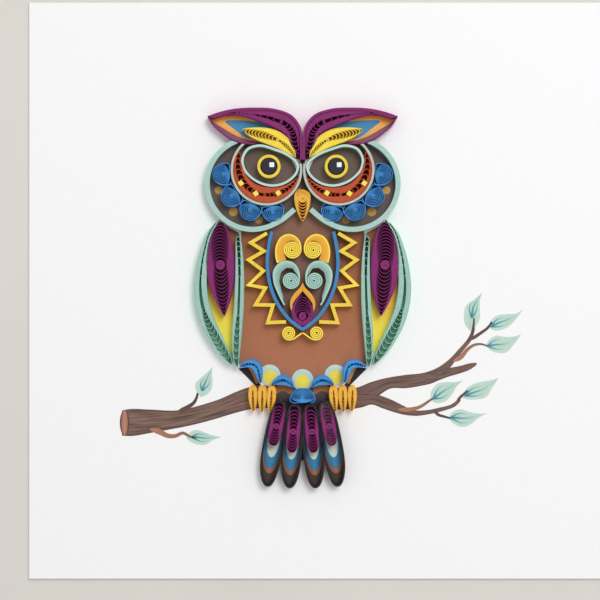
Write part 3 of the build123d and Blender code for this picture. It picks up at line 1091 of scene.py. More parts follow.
EAR_BLUE_INK = Print("ear_blue_ink", "blue_print", {0.0: "3f96cc", 1.0: "3b8ab0"}, (41, 45))
BUD_INK = Print("bud_ink", "orange_print", {0.0: "c08a3e", 1.0: "d8a458"}, (18, 28))
SCALLOP_INK = Print("scallop_ink", "mint_print", {0.0: "a8cbbd", 1.0: "c6dfd5"}, (-26, -20))
SCALLOP_STOPS = {0.0: "fbe64a", 0.5: "f6e04a", 0.8: "b7d5c8"}
HEM_INK = Print("hem_ink", "dark_print", {0.0: "2c2126", 1.0: "1b1418"}, (-26, -20))
UNDER_STOPS = {0.0: "241a20", 0.35: "341a2c", 1.0: "5b4a44"}
UNDER_INK = Print("under_tail_ink", "dark_print", UNDER_STOPS, (-31, -26.5))
ARCH_INK = Print("arch_ink", "orange_print", {0.0: "a86f38", 1.0: "c88a46"}, (-28, -21))
# Painted shade: fields laid under the coils in the colour that the slits between their turns show,
# dark where shade falls in them and lighter where light bounces off the coloured paper.
PURPLE_SLIT_SHADE = Print("purple_slit_shade", "mauve_print", {0.0: "641650", 1.0: "58143f"})
GREEN_SLIT_SHADE_STOPS = {0.0: "bfe6d3", 0.5: "a2d4be", 1.0: "5f9a86"}
GREEN_SLIT_SHADE = Print("green_slit_shade", "mint_print", GREEN_SLIT_SHADE_STOPS, (-19, 4))
BLUE_SLIT_SHADE = Print("blue_ink", "blue_print", {0.0: "2c6cb4", 1.0: "265fa4"})
DEEP_BLUE_SLIT_SHADE = Print("deep_blue_ink", "blue_print", {0.0: "17427f", 1.0: "1b4b8c"})
RUST_SLIT_SHADE = Print("rust_slit_shade", "terracotta_print", {0.0: "b8501e", 1.0: "742616"}, (20, 26))
GOLD_SLIT_SHADE = Print("gold_slit_shade", "yellow_print", {0.0: "f4a238", 1.0: "fccb54"}, (-25, 40))
TOE_SLIT_SHADE = Print("toe_slit_shade", "orange_print", {0.0: "ffd78c", 1.0: "ffcf80"}, (-32, -25))

TAIL_BROWN_STOPS = {0.0: "54443b", 0.7: "4a3c34", 1.0: "362a26"}
TAIL_BROWN_INK = Print("tail_brown_ink", "dark_print", TAIL_BROWN_STOPS, fade=Fade.EDGE)
TAIL_TERRACOTTA_INK = Print(
    "tail_terracotta_ink", "terracotta_print", {0.0: "b87b60", 1.0: "8f5e4a"}, fade=Fade.EDGE
)
TAIL_BLUE_STOPS = {0.0: "3f90c2", 0.7: "3882ae", 1.0: "2c6a86"}
TAIL_BLUE_INK = Print("tail_blue_ink", "blue_print", TAIL_BLUE_STOPS, fade=Fade.EDGE)
TAIL_MINT_STOPS = {0.0: "e4efd8", 0.7: "daeadd", 1.0: "c2dacf"}
TAIL_MINT_INK = Print("tail_mint_ink", "mint_print", TAIL_MINT_STOPS, fade=Fade.EDGE)

BARK = Wood("bark_ink", "wood_print", "4e3c37", "71574c", "8a6d61")
CUT_STOPS = {0.0: "bd866e", 0.55: "a8735e", 0.7: "8a5b4b", 0.8: "5a433c", 1.0: "4f3a35"}
CUT_INK = Print("cut_ink", "cut_wood_print", CUT_STOPS, fade=Fade.EDGE)
TWIG_INK = Print("twig_ink", "wood_print", {0.0: "6a4c45", 1.0: "4c393a"}, fade=Fade.ALONG)
RED_TWIG_STOPS = {0.0: "b07c64", 0.6: "9a6a58", 1.0: "5f5250"}
RED_TWIG_INK = Print("red_twig_ink", "wood_print", RED_TWIG_STOPS, fade=Fade.ALONG)
LEAF_STOPS = {0.0: "b4d3c2", 0.6: "bdd8c9", 1.0: "c6dccf"}
LEAF_INK = Print("leaf_ink", "leaf_print", LEAF_STOPS, fade=Fade.EDGE)
VEIN_STOPS = {0.0: "3f7f92", 0.5: "6aa5b0", 1.0: "a4c9c4"}
VEIN_INK = Print("vein_ink", "leaf_print", VEIN_STOPS, fade=Fade.ALONG)


# Making


@dataclass(frozen=True)
class Pair:
    """Strips that stand on both sides of the owl, as a left and a right piece.

    Attributes:
        name: Name of each piece without its side.
        node: Node that each piece stands for, without its side.
        paths: Line that each strip follows on the owl's right half.
        paper: What the strips are cut from.
        closed: Whether each strip is a ring.
        thickness: Thickness of the paper.
    """

    name: str
    node: str
    paths: Sequence[Path]
    paper: StripPaper
    closed: bool = False
    thickness: float = PAPER


class Bench:
    """Where pieces are made, finished and set on the card."""

    def __init__(self) -> None:
        """Start with no finish made."""
        self.materials: dict[str, bpy.types.Material] = {}

    def material(self, finish: Finish | CardBoard) -> bpy.types.Material:
        """Return the material of a finish, made when it is first needed.

        Args:
            finish: The finish.

        Returns:
            Its material.
        """
        if finish.name not in self.materials:
            self.materials[finish.name] = finish.build()
        return self.materials[finish.name]

    def _draw(self, paths: Iterable[Path], closed: bool, height: float, fill: str) -> None:
        """Draw paths as one raised curve and make it a mesh, the active object.

        Args:
            paths: The paths.
            closed: Whether each path returns to its first point.
            height: Height of the raised curve.
            fill: Fill of the curve, "NONE" or "BOTH".
        """
        bpy.ops.object.select_all(action="DESELECT")
        bpy.ops.curve.primitive_nurbs_path_add(location=(0, 0, 0))
        curve = bpy.context.object.data
        curve.dimensions = "2D"
        curve.fill_mode = fill
        curve.extrude = height / 2
        curve.splines.clear()
        for path in paths:
            spline = curve.splines.new("POLY")
            spline.points.add(len(path) - 1)
            for point, (x, y) in zip(spline.points, path):
                point.co = (x, y, 0, 1)
            spline.use_cyclic_u = closed
        bpy.ops.object.convert(target="MESH")

    def _weave(self, edges: Sequence[Band], grid: tuple[int, int], step: float) -> None:
        """Lay a flat grid between the two edges of each band, and join them as the active object.

        Args:
            edges: Lower and upper edge of each band, as the point at a share of its length.
            grid: Pieces along and across a band.
            step: How much higher each band lies than the one before it.
        """
        bpy.ops.object.select_all(action="DESELECT")
        made = []
        for lower, upper in edges:
            bpy.ops.mesh.primitive_grid_add(x_subdivisions=grid[0], y_subdivisions=grid[1], size=1)
            band = bpy.context.object
            band.location.z = len(made) * step
            for vertex in band.data.vertices:
                share, across = vertex.co.x + 0.5, vertex.co.y + 0.5
                start, end = lower(share), upper(share)
                vertex.co.x = start[0] + (end[0] - start[0]) * across
                vertex.co.y = start[1] + (end[1] - start[1]) * across
            made.append(band)
        for band in made:
            band.select_set(True)
        if len(made) > 1:
            bpy.ops.object.join()
        bpy.ops.object.transform_apply(location=True)

    def _seal(self) -> None:
        """Join the active mesh's double points and turn its faces outwards."""
        bpy.ops.object.mode_set(mode="EDIT")
        bpy.ops.mesh.select_all(action="SELECT")
        bpy.ops.mesh.remove_doubles(threshold=0.0005)
        bpy.ops.mesh.normals_make_consistent(inside=False)
        bpy.ops.object.mode_set(mode="OBJECT")

    def _modify(self, kind: str, **settings: object) -> None:
        """Add a modifier to the active object, set it and apply it.

        Args:
            kind: Kind of the modifier.
            **settings: Value of each of its properties.
        """
        modifier = bpy.context.object.modifiers.new(kind.lower(), kind)
        for key, value in settings.items():
            setattr(modifier, key, value)
        bpy.ops.object.modifier_apply(modifier=modifier.name)

    def _set(self, name: str, level: float, finish: Finish, nodes: Sequence[str]) -> None:
        """Set the active mesh on the card as a finished piece.

        Args:
            name: Name of the piece.
            level: Height that its middle gets.
            finish: What it is made of or printed with.
            nodes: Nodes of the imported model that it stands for.
        """
        piece = bpy.context.object
        piece.name = piece.data.name = name
        piece.location.z = level * MM
        piece.scale = (MM, MM, MM)
        bpy.ops.object.transform_apply(location=True, rotation=True, scale=True)
        piece.data.materials.clear()
        piece.data.materials.append(self.material(finish))
        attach(piece, "root")
        if nodes:
            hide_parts(*nodes)
        log.info("%s: %d faces", name, len(piece.data.polygons))

    def strips(
        self,
        name: str,
        paths: Iterable[Path],
        paper: StripPaper,
        nodes: Sequence[str],
        closed: bool = False,
        thickness: float = PAPER,
        mitre: bool = False,
    ) -> None:
        """Stand paper strips on the picture.

        Args:
            name: Name of the piece.
            paths: Line that each strip follows.
            paper: What the strips are cut from.
            nodes: Nodes that the piece stands for.
            closed: Whether each strip is a ring.
            thickness: Thickness of the paper.
            mitre: Whether sharp corners keep the full thickness.
        """
        self._draw(paths, closed, STRIP_HEIGHT, "NONE")
        self._modify("SOLIDIFY", thickness=thickness, offset=0.0, use_even_offset=mitre)
        self._seal()
        bpy.ops.object.shade_smooth_by_angle(angle=radians(40))
        self._set(name, PICTURE + STRIP_HEIGHT / 2, paper, nodes)

    def pairs(self, *pairs: Pair) -> None:
        """Stand strips on both sides of the owl, first those of its left.

        Args:
            *pairs: The strips, as they stand on the owl's right half.
        """
        for side, sign in SIDES.items():
            for pair in pairs:
                paths = [on_card(path, sign) for path in pair.paths]
                nodes = [f"{side}_{pair.node}"]
                name = f"{side}_{pair.name}"
                self.strips(name, paths, pair.paper, nodes, pair.closed, pair.thickness)

    def sheaf(
        self,
        name: str,
        edges: Sequence[Band],
        finish: Sheaf,
        nodes: Sequence[str],
        pieces: int,
        height: float,
    ) -> None:
        """Stand strips that are glued side by side on the picture, as one tapered band.

        Args:
            name: Name of the piece.
            edges: Outer and inner edge of each band, as the point at a share of its length.
            finish: What the strips look like from above.
            nodes: Nodes that the piece stands for.
            pieces: Straight pieces along a band.
            height: Height of the strips.
        """
        self._weave(edges, (pieces, 1), 0.0)
        self._modify("SOLIDIFY", thickness=height, offset=0.0)
        self._seal()
        self._set(name, PICTURE + height / 2, finish, nodes)

    def field(
        self,
        name: str,
        outlines: Iterable[Path],
        finish: Finish,
        layer: int,
        nodes: Sequence[str] = (),
    ) -> None:
        """Print fields of one colour on the card, and lay the fields of painted shade under the
        coils.

        Args:
            name: Name of the piece.
            outlines: Closed edge of each field.
            finish: Ink of the fields, which is painted shade for those under the coils.
            layer: 0 for the lowest ink, and more for what is printed over it.
            nodes: Nodes that the piece stands for.
        """
        thickness = INK_LEAST + INK_STEP * layer
        self._draw(outlines, True, thickness, "BOTH")
        self._seal()
        self._set(name, CARD_TOP + thickness / 2, finish, nodes)

    def bands(
        self,
        name: str,
        edges: Sequence[Band],
        finish: Finish,
        layer: int,
        nodes: Sequence[str] = (),
        grid: tuple[int, int] = (40, 6),
    ) -> None:
        """Print bands between two edges, with a pattern that follows them.

        Args:
            name: Name of the piece.
            edges: Lower and upper edge of each band, as the point at a share of its length.
            finish: Ink of the bands.
            layer: 0 for the lowest ink, and more for what is printed over it.
            nodes: Nodes that the piece stands for.
            grid: Pieces along and across a band.
        """
        thickness = INK_LEAST + INK_STEP * layer
        self._weave(edges, grid, BAND_STEP)
        self._modify("SOLIDIFY", thickness=thickness, offset=0.0)
        self._seal()
        self._set(name, CARD_TOP + thickness / 2, finish, nodes)

    def chip(
        self,
        name: str,
        places: Iterable[tuple[Point, float]],
        height: float,
        paper: StripPaper,
        nodes: Sequence[str],
    ) -> None:
        """Glue small squares of card on top of the strips.

        Args:
            name: Name of the piece.
            places: Middle and turn in degrees of each square.
            height: Thickness of the card.
            paper: What the squares are cut from.
            nodes: Nodes that the piece stands for.
        """
        reach = CHIP_SIZE / 2**0.5
        outlines = []
        for (x, y), angle in places:
            turns = [radians(angle + 45 + 90 * i) for i in range(4)]
            outlines.append([(x + reach * cos(t), y + reach * sin(t)) for t in turns])
        self._draw(outlines, True, height, "BOTH")
        self._seal()
        self._modify("BEVEL", width=0.06, segments=2, limit_method="ANGLE")
        self._set(name, STRIP_TOP + height / 2, paper, nodes)


@dataclass(frozen=True)
class Card:
    """The folded card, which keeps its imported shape."""

    def build(self, bench: Bench) -> None:
        """Dress the card.

        Args:
            bench: Where the pieces are made.
        """
        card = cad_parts["card"]
        card.data.materials.clear()
        card.data.materials.append(bench.material(WHITE_CARD))
        for polygon in card.data.polygons:
            polygon.material_index = 0


@dataclass(frozen=True)
class Ears:
    """The two ears, the brow coils between them and the beak."""

    rise: Points = (
        (0.04, 34.4), (0.05, 38.5), (0.5, 43.0), (2.6, 45.9), (7.5, 47.8), (12.0, 48.1),
        (20.5, 47.3), (25.0, 45.8),
    )
    under: Points = (
        (25.0, 45.8), (23.6, 43.4), (21.7, 41.7), (18.6, 39.6), (16.4, 38.8), (12.6, 38.5),
    )
    inner: Points = ((11.3, 39.2), (8.6, 38.3), (6.0, 37.5), (3.3, 36.4), (1.4, 34.8))
    orange: Points = (
        (24.6, 45.7), (20.5, 46.2), (16.0, 46.3), (11.3, 45.6), (7.0, 44.0), (8.0, 40.0),
        (12.6, 39.6), (16.6, 40.6), (20.5, 42.7),
    )
    blue: Points = (
        (20.5, 44.8), (16.6, 45.1), (13.0, 44.8), (7.6, 43.5), (8.6, 41.0), (15.2, 40.6),
        (17.9, 42.6),
    )
    brow: Points = (
        (15.8, 42.3), (13.5, 41.6), (10.9, 41.0), (8.6, 40.4), (6.2, 39.4), (4.1, 37.8), (1.9, 35.1),
    )
    beak: Points = ((0, 26.8), (0, 22.5), (0, 18.2))
    outline_width: float = 0.7
    under_width: float = 0.35
    coil_gap: float = 0.03

    def build(self, bench: Bench) -> None:
        """Make the ears' print and coils, the brow coils and the beak.

        Args:
            bench: Where the pieces are made.
        """
        rise, under = Line(self.rise).points(70), Line(self.under).points(24)
        inside = sidestep(rise + under[1:], -self.outline_width / 2)
        inks = (
            ("ear", [*inside, *self.inner], EAR_INK),
            ("ear_orange", Line(self.orange, closed=True).points(80)[:-1], EAR_ORANGE_INK),
            ("ear_blue", Line(self.blue, closed=True).points(70)[:-1], EAR_BLUE_INK),
        )
        for layer, (name, outline, ink) in enumerate(inks, 1):
            bench.field(f"{name}_ink", both_sides([outline]), ink, layer, [f"{name}_print"])
        crescent = Coil(
            self.rise, half_width=2.15, widest=0.37, powers=(0.7, 2.9), turns=9, core=0.45,
            core_at=0.4, spreads=(0.7, 1.0), side=-1, inset=self.outline_width + self.coil_gap,
            span=(0.04, 0.97),
        )
        brow = Coil(
            self.brow, half_width=2.15, widest=0.52, powers=(0.8, 0.9), turns=10, core=0.42,
            core_at=0.6, spreads=(0.9, 0.9),
        )
        beak = Coil(
            self.beak, half_width=2.2, widest=0.26, powers=(0.5, 1.0), turns=6, core=1.1,
            core_at=0.3, spreads=(1.0, 1.1),
        )
        # Painted shade under the brow, ear and beak coils, in the colour that the slits between their
        # turns show.
        bench.field("brow_shade", both_sides([brow.outline()]), GOLD_SLIT_SHADE, 5)
        bench.field("ear_shade", both_sides([crescent.outline()]), PURPLE_SLIT_SHADE, 5)
        bench.field("beak_shade", [on_card(beak.outline())], RUST_SLIT_SHADE, 5)
        edges = bundle(rise, -self.outline_width) + bundle(under, -self.under_width)
        bench.pairs(
            Pair("ear_edge", "ear_outline", edges, PURPLE),
            Pair("ear_crescent", "ear_coil", [crescent.path()], PURPLE),
            Pair("brow", "brow_coil", [brow.path()], YELLOW),
        )
        bench.strips("beak_coil", [on_card(beak.path())], ORANGE, ["beak"])


@dataclass(frozen=True)
class Face:
    """The two round faces: print, rings, crescent coil, petals, iris and pupil."""

    eye: Point = (9.5, 31.75)
    socket_radius: float = 9.4
    ring: Point = (13.1, 28.1)
    ring_radius: float = 12.65
    ring_width: float = 1.3
    ring_foot: Points = ((1.7, 20.9), (3.4, 19.4), (5.0, 18.15))
    rim: Points = (
        (0.95, 32.8), (1.5, 34.0), (3.3, 35.6), (7.3, 37.4), (11.5, 38.4), (14.6, 37.4),
        (16.1, 34.7), (15.7, 32.0), (13.8, 29.6), (11.2, 28.0), (8.3, 27.3), (5.4, 27.7),
        (3.0, 29.0), (1.3, 31.0),
    )
    between: Points = (
        (0, 36.4), (1.3, 36.4), (0.7, 34.6), (0.3, 31.75), (0.6, 29.0), (1.7, 26.3), (2.9, 24.6),
        (2.6, 22.0), (1.4, 20.9), (0, 20.6),
    )
    strip_width: float = 0.6
    print_inset: float = 0.6
    coil_gap: float = 0.08
    iris: Point = (8.85, 32.65)
    iris_radius: float = 3.05
    iris_width: float = 0.75
    pupil_radius: float = 2.05
    petals: Points = ((-6, 4.7), (-37, 4.8), (-68, 4.6), (-99, 4.3))
    petal_width: float = 5.9
    buds: tuple[tuple[Point, float], ...] = (
        ((22.2, 26.6), 1.05), ((18.3, 20.9), 1.2), ((11.6, 18.8), 1.1),
    )
    studs: Points = ((16.2, 28.2), (12.3, 25.5), (6.4, 25.6))
    glint: Point = (0.75, 0.4)

    def _spoke(self, distance: float, angle: float) -> Point:
        """Return the point at a distance and an angle in degrees from the socket's middle."""
        turn = radians(angle)
        return self.eye[0] + distance * cos(turn), self.eye[1] + distance * sin(turn)

    def _crescent(self) -> Coil:
        """Return the crescent coil under the eye."""
        edge = arc(self.eye, self.socket_radius - self.strip_width - self.coil_gap, -172, 34, 24)
        return Coil(
            edge, half_width=2.15, widest=0.44, powers=(1.1, 0.7), turns=10, core=0.4,
            core_at=0.42, spreads=(0.9, 0.9), side=1,
        )

    def _petals(self) -> list[Coil]:
        """Return the petals about the socket.

        Returns:
            One coil for each petal of the right face.
        """
        petals = []
        foot = self.socket_radius + self.coil_gap
        for angle, length in self.petals:
            spine = [self._spoke(foot + length * i / 2, angle) for i in range(3)]
            petals.append(
                Coil(
                    spine, half_width=self.petal_width / 2, widest=0.3, powers=(0.12, 0.5),
                    turns=6, core=0.5, core_at=0.4, loose=True,
                )
            )
        return petals

    def _print(self, bench: Bench) -> None:
        """Print the fields under the rings, coils and petals, and lay painted shade under the
        crescent coil and the petals.

        Args:
            bench: Where the pieces are made.
        """
        face = both_sides([circle(self.ring, self.ring_radius - self.print_inset, 72)])
        bench.field("face_ink", face, FACE_INK, 0, ["face_print"])
        bench.field("between_ink", [on_card(whole(self.between))], BETWEEN_INK, 1)
        buds = [circle(centre, radius, 28) for centre, radius in self.buds]
        bench.field("bud_ink", both_sides(buds), BUD_INK, 4, ["bud_print"])
        # Painted shade under the crescent coil and the petals, for the slits between their turns.
        bench.field("crescent_shade", both_sides([self._crescent().outline()]), RUST_SLIT_SHADE, 2)
        shades = [petal.outline() for petal in self._petals()]
        bench.field("petal_shade", both_sides(shades), DEEP_BLUE_SLIT_SHADE, 5)

    @staticmethod
    def _tuck(path: Path) -> Path:
        """Return a path without what would reach into the ear above it.

        Args:
            path: Points of the path.

        Returns:
            Those of its points that are below the ear.
        """
        edge = Ears().under

        def clear(point: Point) -> bool:
            """Return whether a point is below the ear.

            Args:
                point: The point.

            Returns:
                True where it is.
            """
            for (right, high), (left, low) in zip(edge, edge[1:]):
                if left <= point[0] <= right:
                    limit = low + (high - low) * (point[0] - left) / (right - left)
                    return point[1] < limit - PAPER
            return True

        return [point for point in path if clear(point)]

    def _rings(self) -> list[Pair]:
        """Return the strips that go round the face, the socket and the eye.

        Returns:
            One pair for each of them.
        """
        sweep = tuple(arc(self.ring, self.ring_radius, -120, 74, 24))
        ring = bundle(Line(self.ring_foot + sweep).points(260), self.ring_width)
        socket = bundle(arc(self.eye, self.socket_radius, -190, 52, 200), self.strip_width)
        rim = bundle(Line(self.rim[::-1], closed=True).points(110)[:-1], self.strip_width, True)
        return [
            Pair("ring", "face_ring", [self._tuck(path) for path in ring], RING_MINT),
            Pair("socket", "eye_socket", [self._tuck(path) for path in socket], SOCKET_PALE),
            Pair("rim", "eye_rim", rim, RIM_MINT, closed=True),
        ]

    def _eyes(self, bench: Bench) -> None:
        """Make the iris and the pupil of each eye, with its glint.

        Args:
            bench: Where the pieces are made.
        """
        rings = bundle(circle(self.iris, self.iris_radius, 64), self.iris_width, True)
        bench.strips("iris_rings", both_sides(rings), YELLOW, ["irises"], closed=True)
        right = self.iris[0] + self.pupil_radius
        start = [(right, self.iris[1] - 0.1), (right, self.iris[1])]
        pupil = start + spiral(start, self.iris, PITCH, least=0.1)
        bench.strips("pupil_coils", both_sides([pupil]), PUPIL, ["pupils"])
        places = []
        for sign in SIDES.values():
            x, y = on_card([self.iris], sign)[0]
            places.append(((x + self.glint[0], y + self.glint[1]), 0.0))
        bench.chip("glints", places, 0.25, GLINT, ["eye_glints"])

    def build(self, bench: Bench) -> None:
        """Make both faces.

        Args:
            bench: Where the pieces are made.
        """
        self._print(bench)
        petals = [petal.path() for petal in self._petals()]
        bench.pairs(
            *self._rings(),
            Pair("crescent", "eye_crescent", [self._crescent().path()], RUST),
            Pair("petal_coils", "petals", petals, BLUE),
        )
        self._eyes(bench)
        places = [
            (on_card([spot], sign)[0], 45.0 + 10 * sign)
            for spot in self.studs
            for sign in SIDES.values()
        ]
        bench.chip("studs", places, 0.3, STUD, ["crescent_studs"])


@dataclass(frozen=True)
class Wings:
    """The two wings, each with a mint coil on both edges and a purple one between."""

    field: Points = (
        (16.7, 15.2), (21.4, 17.8), (24.8, 12.5), (26.4, 6.0), (26.4, 1.0), (25.7, -2.8),
        (24.3, -7.4), (21.7, -12.4), (18.6, -17.0), (17.2, -13.6), (16.8, -9.0), (16.3, -4.0),
        (16.1, 2.0), (16.3, 9.0),
    )
    outer: Points = (
        (22.1, 18.8), (24.8, 16.0), (27.0, 10.7), (28.2, 5.4), (28.6, 0.8), (28.35, -2.8),
        (27.1, -7.9), (24.5, -13.1), (21.6, -17.0), (18.7, -19.6),
    )
    inner: Points = (
        (16.6, 15.4), (15.85, 10.6), (15.45, 5.2), (15.4, 0.0), (15.55, -5.1), (15.95, -10.3),
        (16.45, -15.6), (16.95, -20.1),
    )
    feather: Points = (
        (21.5, 18.1), (21.75, 12.0), (21.65, 6.5), (21.25, 1.0), (20.6, -6.6),
    )
    thin_paper: float = 0.095

    def build(self, bench: Bench) -> None:
        """Make both wings.

        Args:
            bench: Where the pieces are made.
        """
        bench.field("wing_ink", both_sides([self.field]), WING_INK, 0, ["wing_print"])
        feather = Coil(
            self.feather, half_width=3.75, widest=0.46, powers=(0.62, 1.0), turns=12, core=1.25,
            core_at=0.46,
        )
        outer = Coil(
            self.outer, half_width=1.9, widest=0.7, powers=(0.75, 0.6), turns=12, core=0.2,
            core_at=0.6, spreads=(0.4, 1.25), side=-1, paper=self.thin_paper,
        )
        inner = Coil(
            self.inner, half_width=1.3, widest=0.66, powers=(0.35, 0.5), turns=8, core=0.15,
            core_at=0.58, spreads=(0.4, 1.1), side=1, paper=self.thin_paper,
        )
        # Painted shade under the purple and mint wing coils, for the slits between their turns.
        bench.field("feather_shade", both_sides([feather.outline()]), PURPLE_SLIT_SHADE, 4)
        bench.field("wing_shade", both_sides([outer.outline(), inner.outline()]), GREEN_SLIT_SHADE, 3)
        thin = self.thin_paper
        bench.pairs(
            Pair("wing_feather", "wing_feather_coil", [feather.path()], PURPLE),
            Pair("wing_outer", "wing_outer_coil", [outer.path()], MINT, thickness=thin),
            Pair("wing_inner", "wing_inner_coil", [inner.path()], MINT, thickness=thin),
        )


@dataclass(frozen=True)
class Breast:
    """The breast: shield, zigzags, scrolls, flame and the coil at its point."""

    shield: Points = (
        (8.1, 15.5), (8.9, 11.7), (9.3, 7.8), (9.05, 4.2), (8.25, 0.6), (6.9, -2.8), (5.05, -5.7),
        (3.0, -8.0), (0, -10.1),
    )
    zigzag: Points = (
        (9.35, 15.1), (13.6, 12.6), (10.15, 10.4), (14.2, 8.1), (10.3, 5.2), (14.2, 1.5),
        (9.75, 0.7), (12.4, -3.7), (7.75, -3.8), (9.2, -8.4), (4.35, -8.2),
    )
    chest_top: Points = ((0, 21.6), (2.0, 21.2), (5.0, 18.6), (8.1, 16.7))
    belly: Points = (
        (0, 22.3), (2.0, 21.6), (5.0, 18.9), (8.9, 16.5), (13.1, 15.8), (16.3, 16.2), (16.2, 9.0),
        (15.9, 0.0), (16.2, -9.0), (17.0, -19.4), (13.4, -20.0), (10.6, -23.4), (0, -23.6),
    )
    crown: Points = (
        (6.7, 7.2), (7.25, 9.8), (6.9, 12.2), (5.6, 14.2), (3.6, 14.9), (1.6, 14.1), (0.5, 12.4),
        (0.3, 10.9),
    )
    crown_coil: Point = (2.75, 10.8)
    heart: Points = (
        (4.9, -3.9), (6.5, -0.8), (7.7, 2.5), (7.7, 5.2), (6.5, 7.0), (4.3, 7.9), (2.2, 7.2),
        (0.9, 5.1), (0.75, 2.9),
    )
    heart_coil: Point = (3.1, 2.7)
    flame: Points = (
        (0.02, 2.2), (0.6, 1.0), (2.3, -0.8), (3.2, -2.4), (3.3, -4.2), (2.75, -5.6),
    )
    crown_widths: tuple[float, ...] = (2.6, 2.4, 2.3, 2.05, 1.3, 0.45)
    heart_widths: tuple[float, ...] = (0.12, 1.1, 1.5, 2.05, 2.2, 1.9, 1.2, 0.45)
    flame_widths: tuple[float, ...] = (0.5, 1.15, 1.3, 1.15, 0.7, 0.1)
    teardrop: Points = ((0, -0.9), (0, -5.0), (0, -9.2))
    tie: Points = ((0, -11.25), (1.2, -12.1), (2.5, -12.9), (3.9, -13.05))
    tie_coil: Point = (3.55, -11.15)
    shield_width: float = 0.85
    zigzag_width: float = 0.9
    scroll_paper: float = 0.38
    winding: float = 0.5
    stem_drop: float = 0.02
    rim_share: float = 0.05
    middle_gap: float = 0.01

    def _stem(self, edge: Sequence[Point], widths: Sequence[float], side: int) -> list[Band]:
        """Return the bunched strips inside an edge, on both sides of the owl.

        Args:
            edge: Points along the outer edge.
            widths: Width of the bunch at evenly spaced places.
            side: 1 where the bunch is on the edge's left, and -1 on its right.

        Returns:
            The outer and the inner edge of both bunches.
        """
        line = Line(edge)

        def rim(across: float, sign: int) -> Edge:
            """Return a line through the bunch.

            Args:
                across: Share of the way across the bunch.
                sign: Side of the owl.

            Returns:
                The line, as the point at a share of its length.
            """

            def point(share: float) -> Point:
                """Return the point at a share of the length."""
                x, y = line.aside(share, side * blend(widths, share) * across)
                return on_card([(max(x, self.middle_gap), y)], sign)[0]

            return point

        return [(rim(self.rim_share, sign), rim(1, sign)) for sign in SIDES.values()]

    def _roll(self, edge: Sequence[Point], centre: Point) -> list[Path]:
        """Return the outermost strip of a scroll with its round coil, on both sides."""
        path = Line(edge).points(60, self.scroll_paper / 2)
        return both_sides([path + spiral(path, centre, self.winding)])

    def _scrolls(self, bench: Bench) -> None:
        """Make the yellow crown, the mint heart and the tie under the shield.

        Args:
            bench: Where the pieces are made.
        """
        scrolls = (
            ("crown", self.crown, self.crown_widths, self.crown_coil, YELLOW, CROWN_SHEAF),
            ("heart", self.heart, self.heart_widths, self.heart_coil, MINT, HEART_SHEAF),
        )
        height = STRIP_HEIGHT - self.stem_drop
        thickness = self.scroll_paper
        for name, edge, widths, centre, paper, sheaf in scrolls:
            nodes = [f"{name}_scrolls"]
            rolls = self._roll(edge, centre)
            bench.strips(f"{name}_coils", rolls, paper, nodes, thickness=thickness)
            bench.sheaf(f"{name}_stems", self._stem(edge, widths, 1), sheaf, nodes, 60, height)
        rolls = self._roll(self.tie, self.tie_coil)
        bench.strips("tie_coils", rolls, YELLOW, ["tie_scroll"], thickness=thickness)

    def build(self, bench: Bench) -> None:
        """Make the whole breast.

        Args:
            bench: Where the pieces are made.
        """
        belly = on_card(whole(self.belly))
        bench.field("belly_ink", [belly], BELLY_INK, 0, ["belly_print"])
        half = Line(self.shield).points(60)
        chest = on_card(whole([*self.chest_top, *half]))
        bench.field("chest_ink", [chest], CHEST_INK, 1, ["chest_print"])
        edge = sidestep(on_card(whole(half)), self.shield_width / 2)
        paths = bundle(edge, -self.shield_width)
        bench.strips("shield_edge", paths, SHIELD_BLUE, ["breast_shield"], mitre=True)
        edge = sidestep(self.zigzag, self.zigzag_width / 2)
        paths = both_sides(bundle(edge, -self.zigzag_width))
        bench.strips("zigzag_strips", paths, YELLOW, ["zigzags"], mitre=True)
        self._scrolls(bench)
        stems = self._stem(self.flame, self.flame_widths, -1)
        bench.sheaf("flame_strips", stems, FLAME_SHEAF, ["flame"], 40, STRIP_HEIGHT)
        drop = Coil(
            self.teardrop, half_width=2.95, widest=0.62, powers=(0.95, 0.6), turns=7, core=1.0,
            core_at=0.7, spreads=(1.1, 0.8),
        )
        # Painted shade under the teardrop coil, for the slits between its turns.
        bench.field("teardrop_shade", [on_card(drop.outline())], PURPLE_SLIT_SHADE, 4)
        bench.strips("teardrop_coil", [on_card(drop.path())], PURPLE, ["breast_coil"])


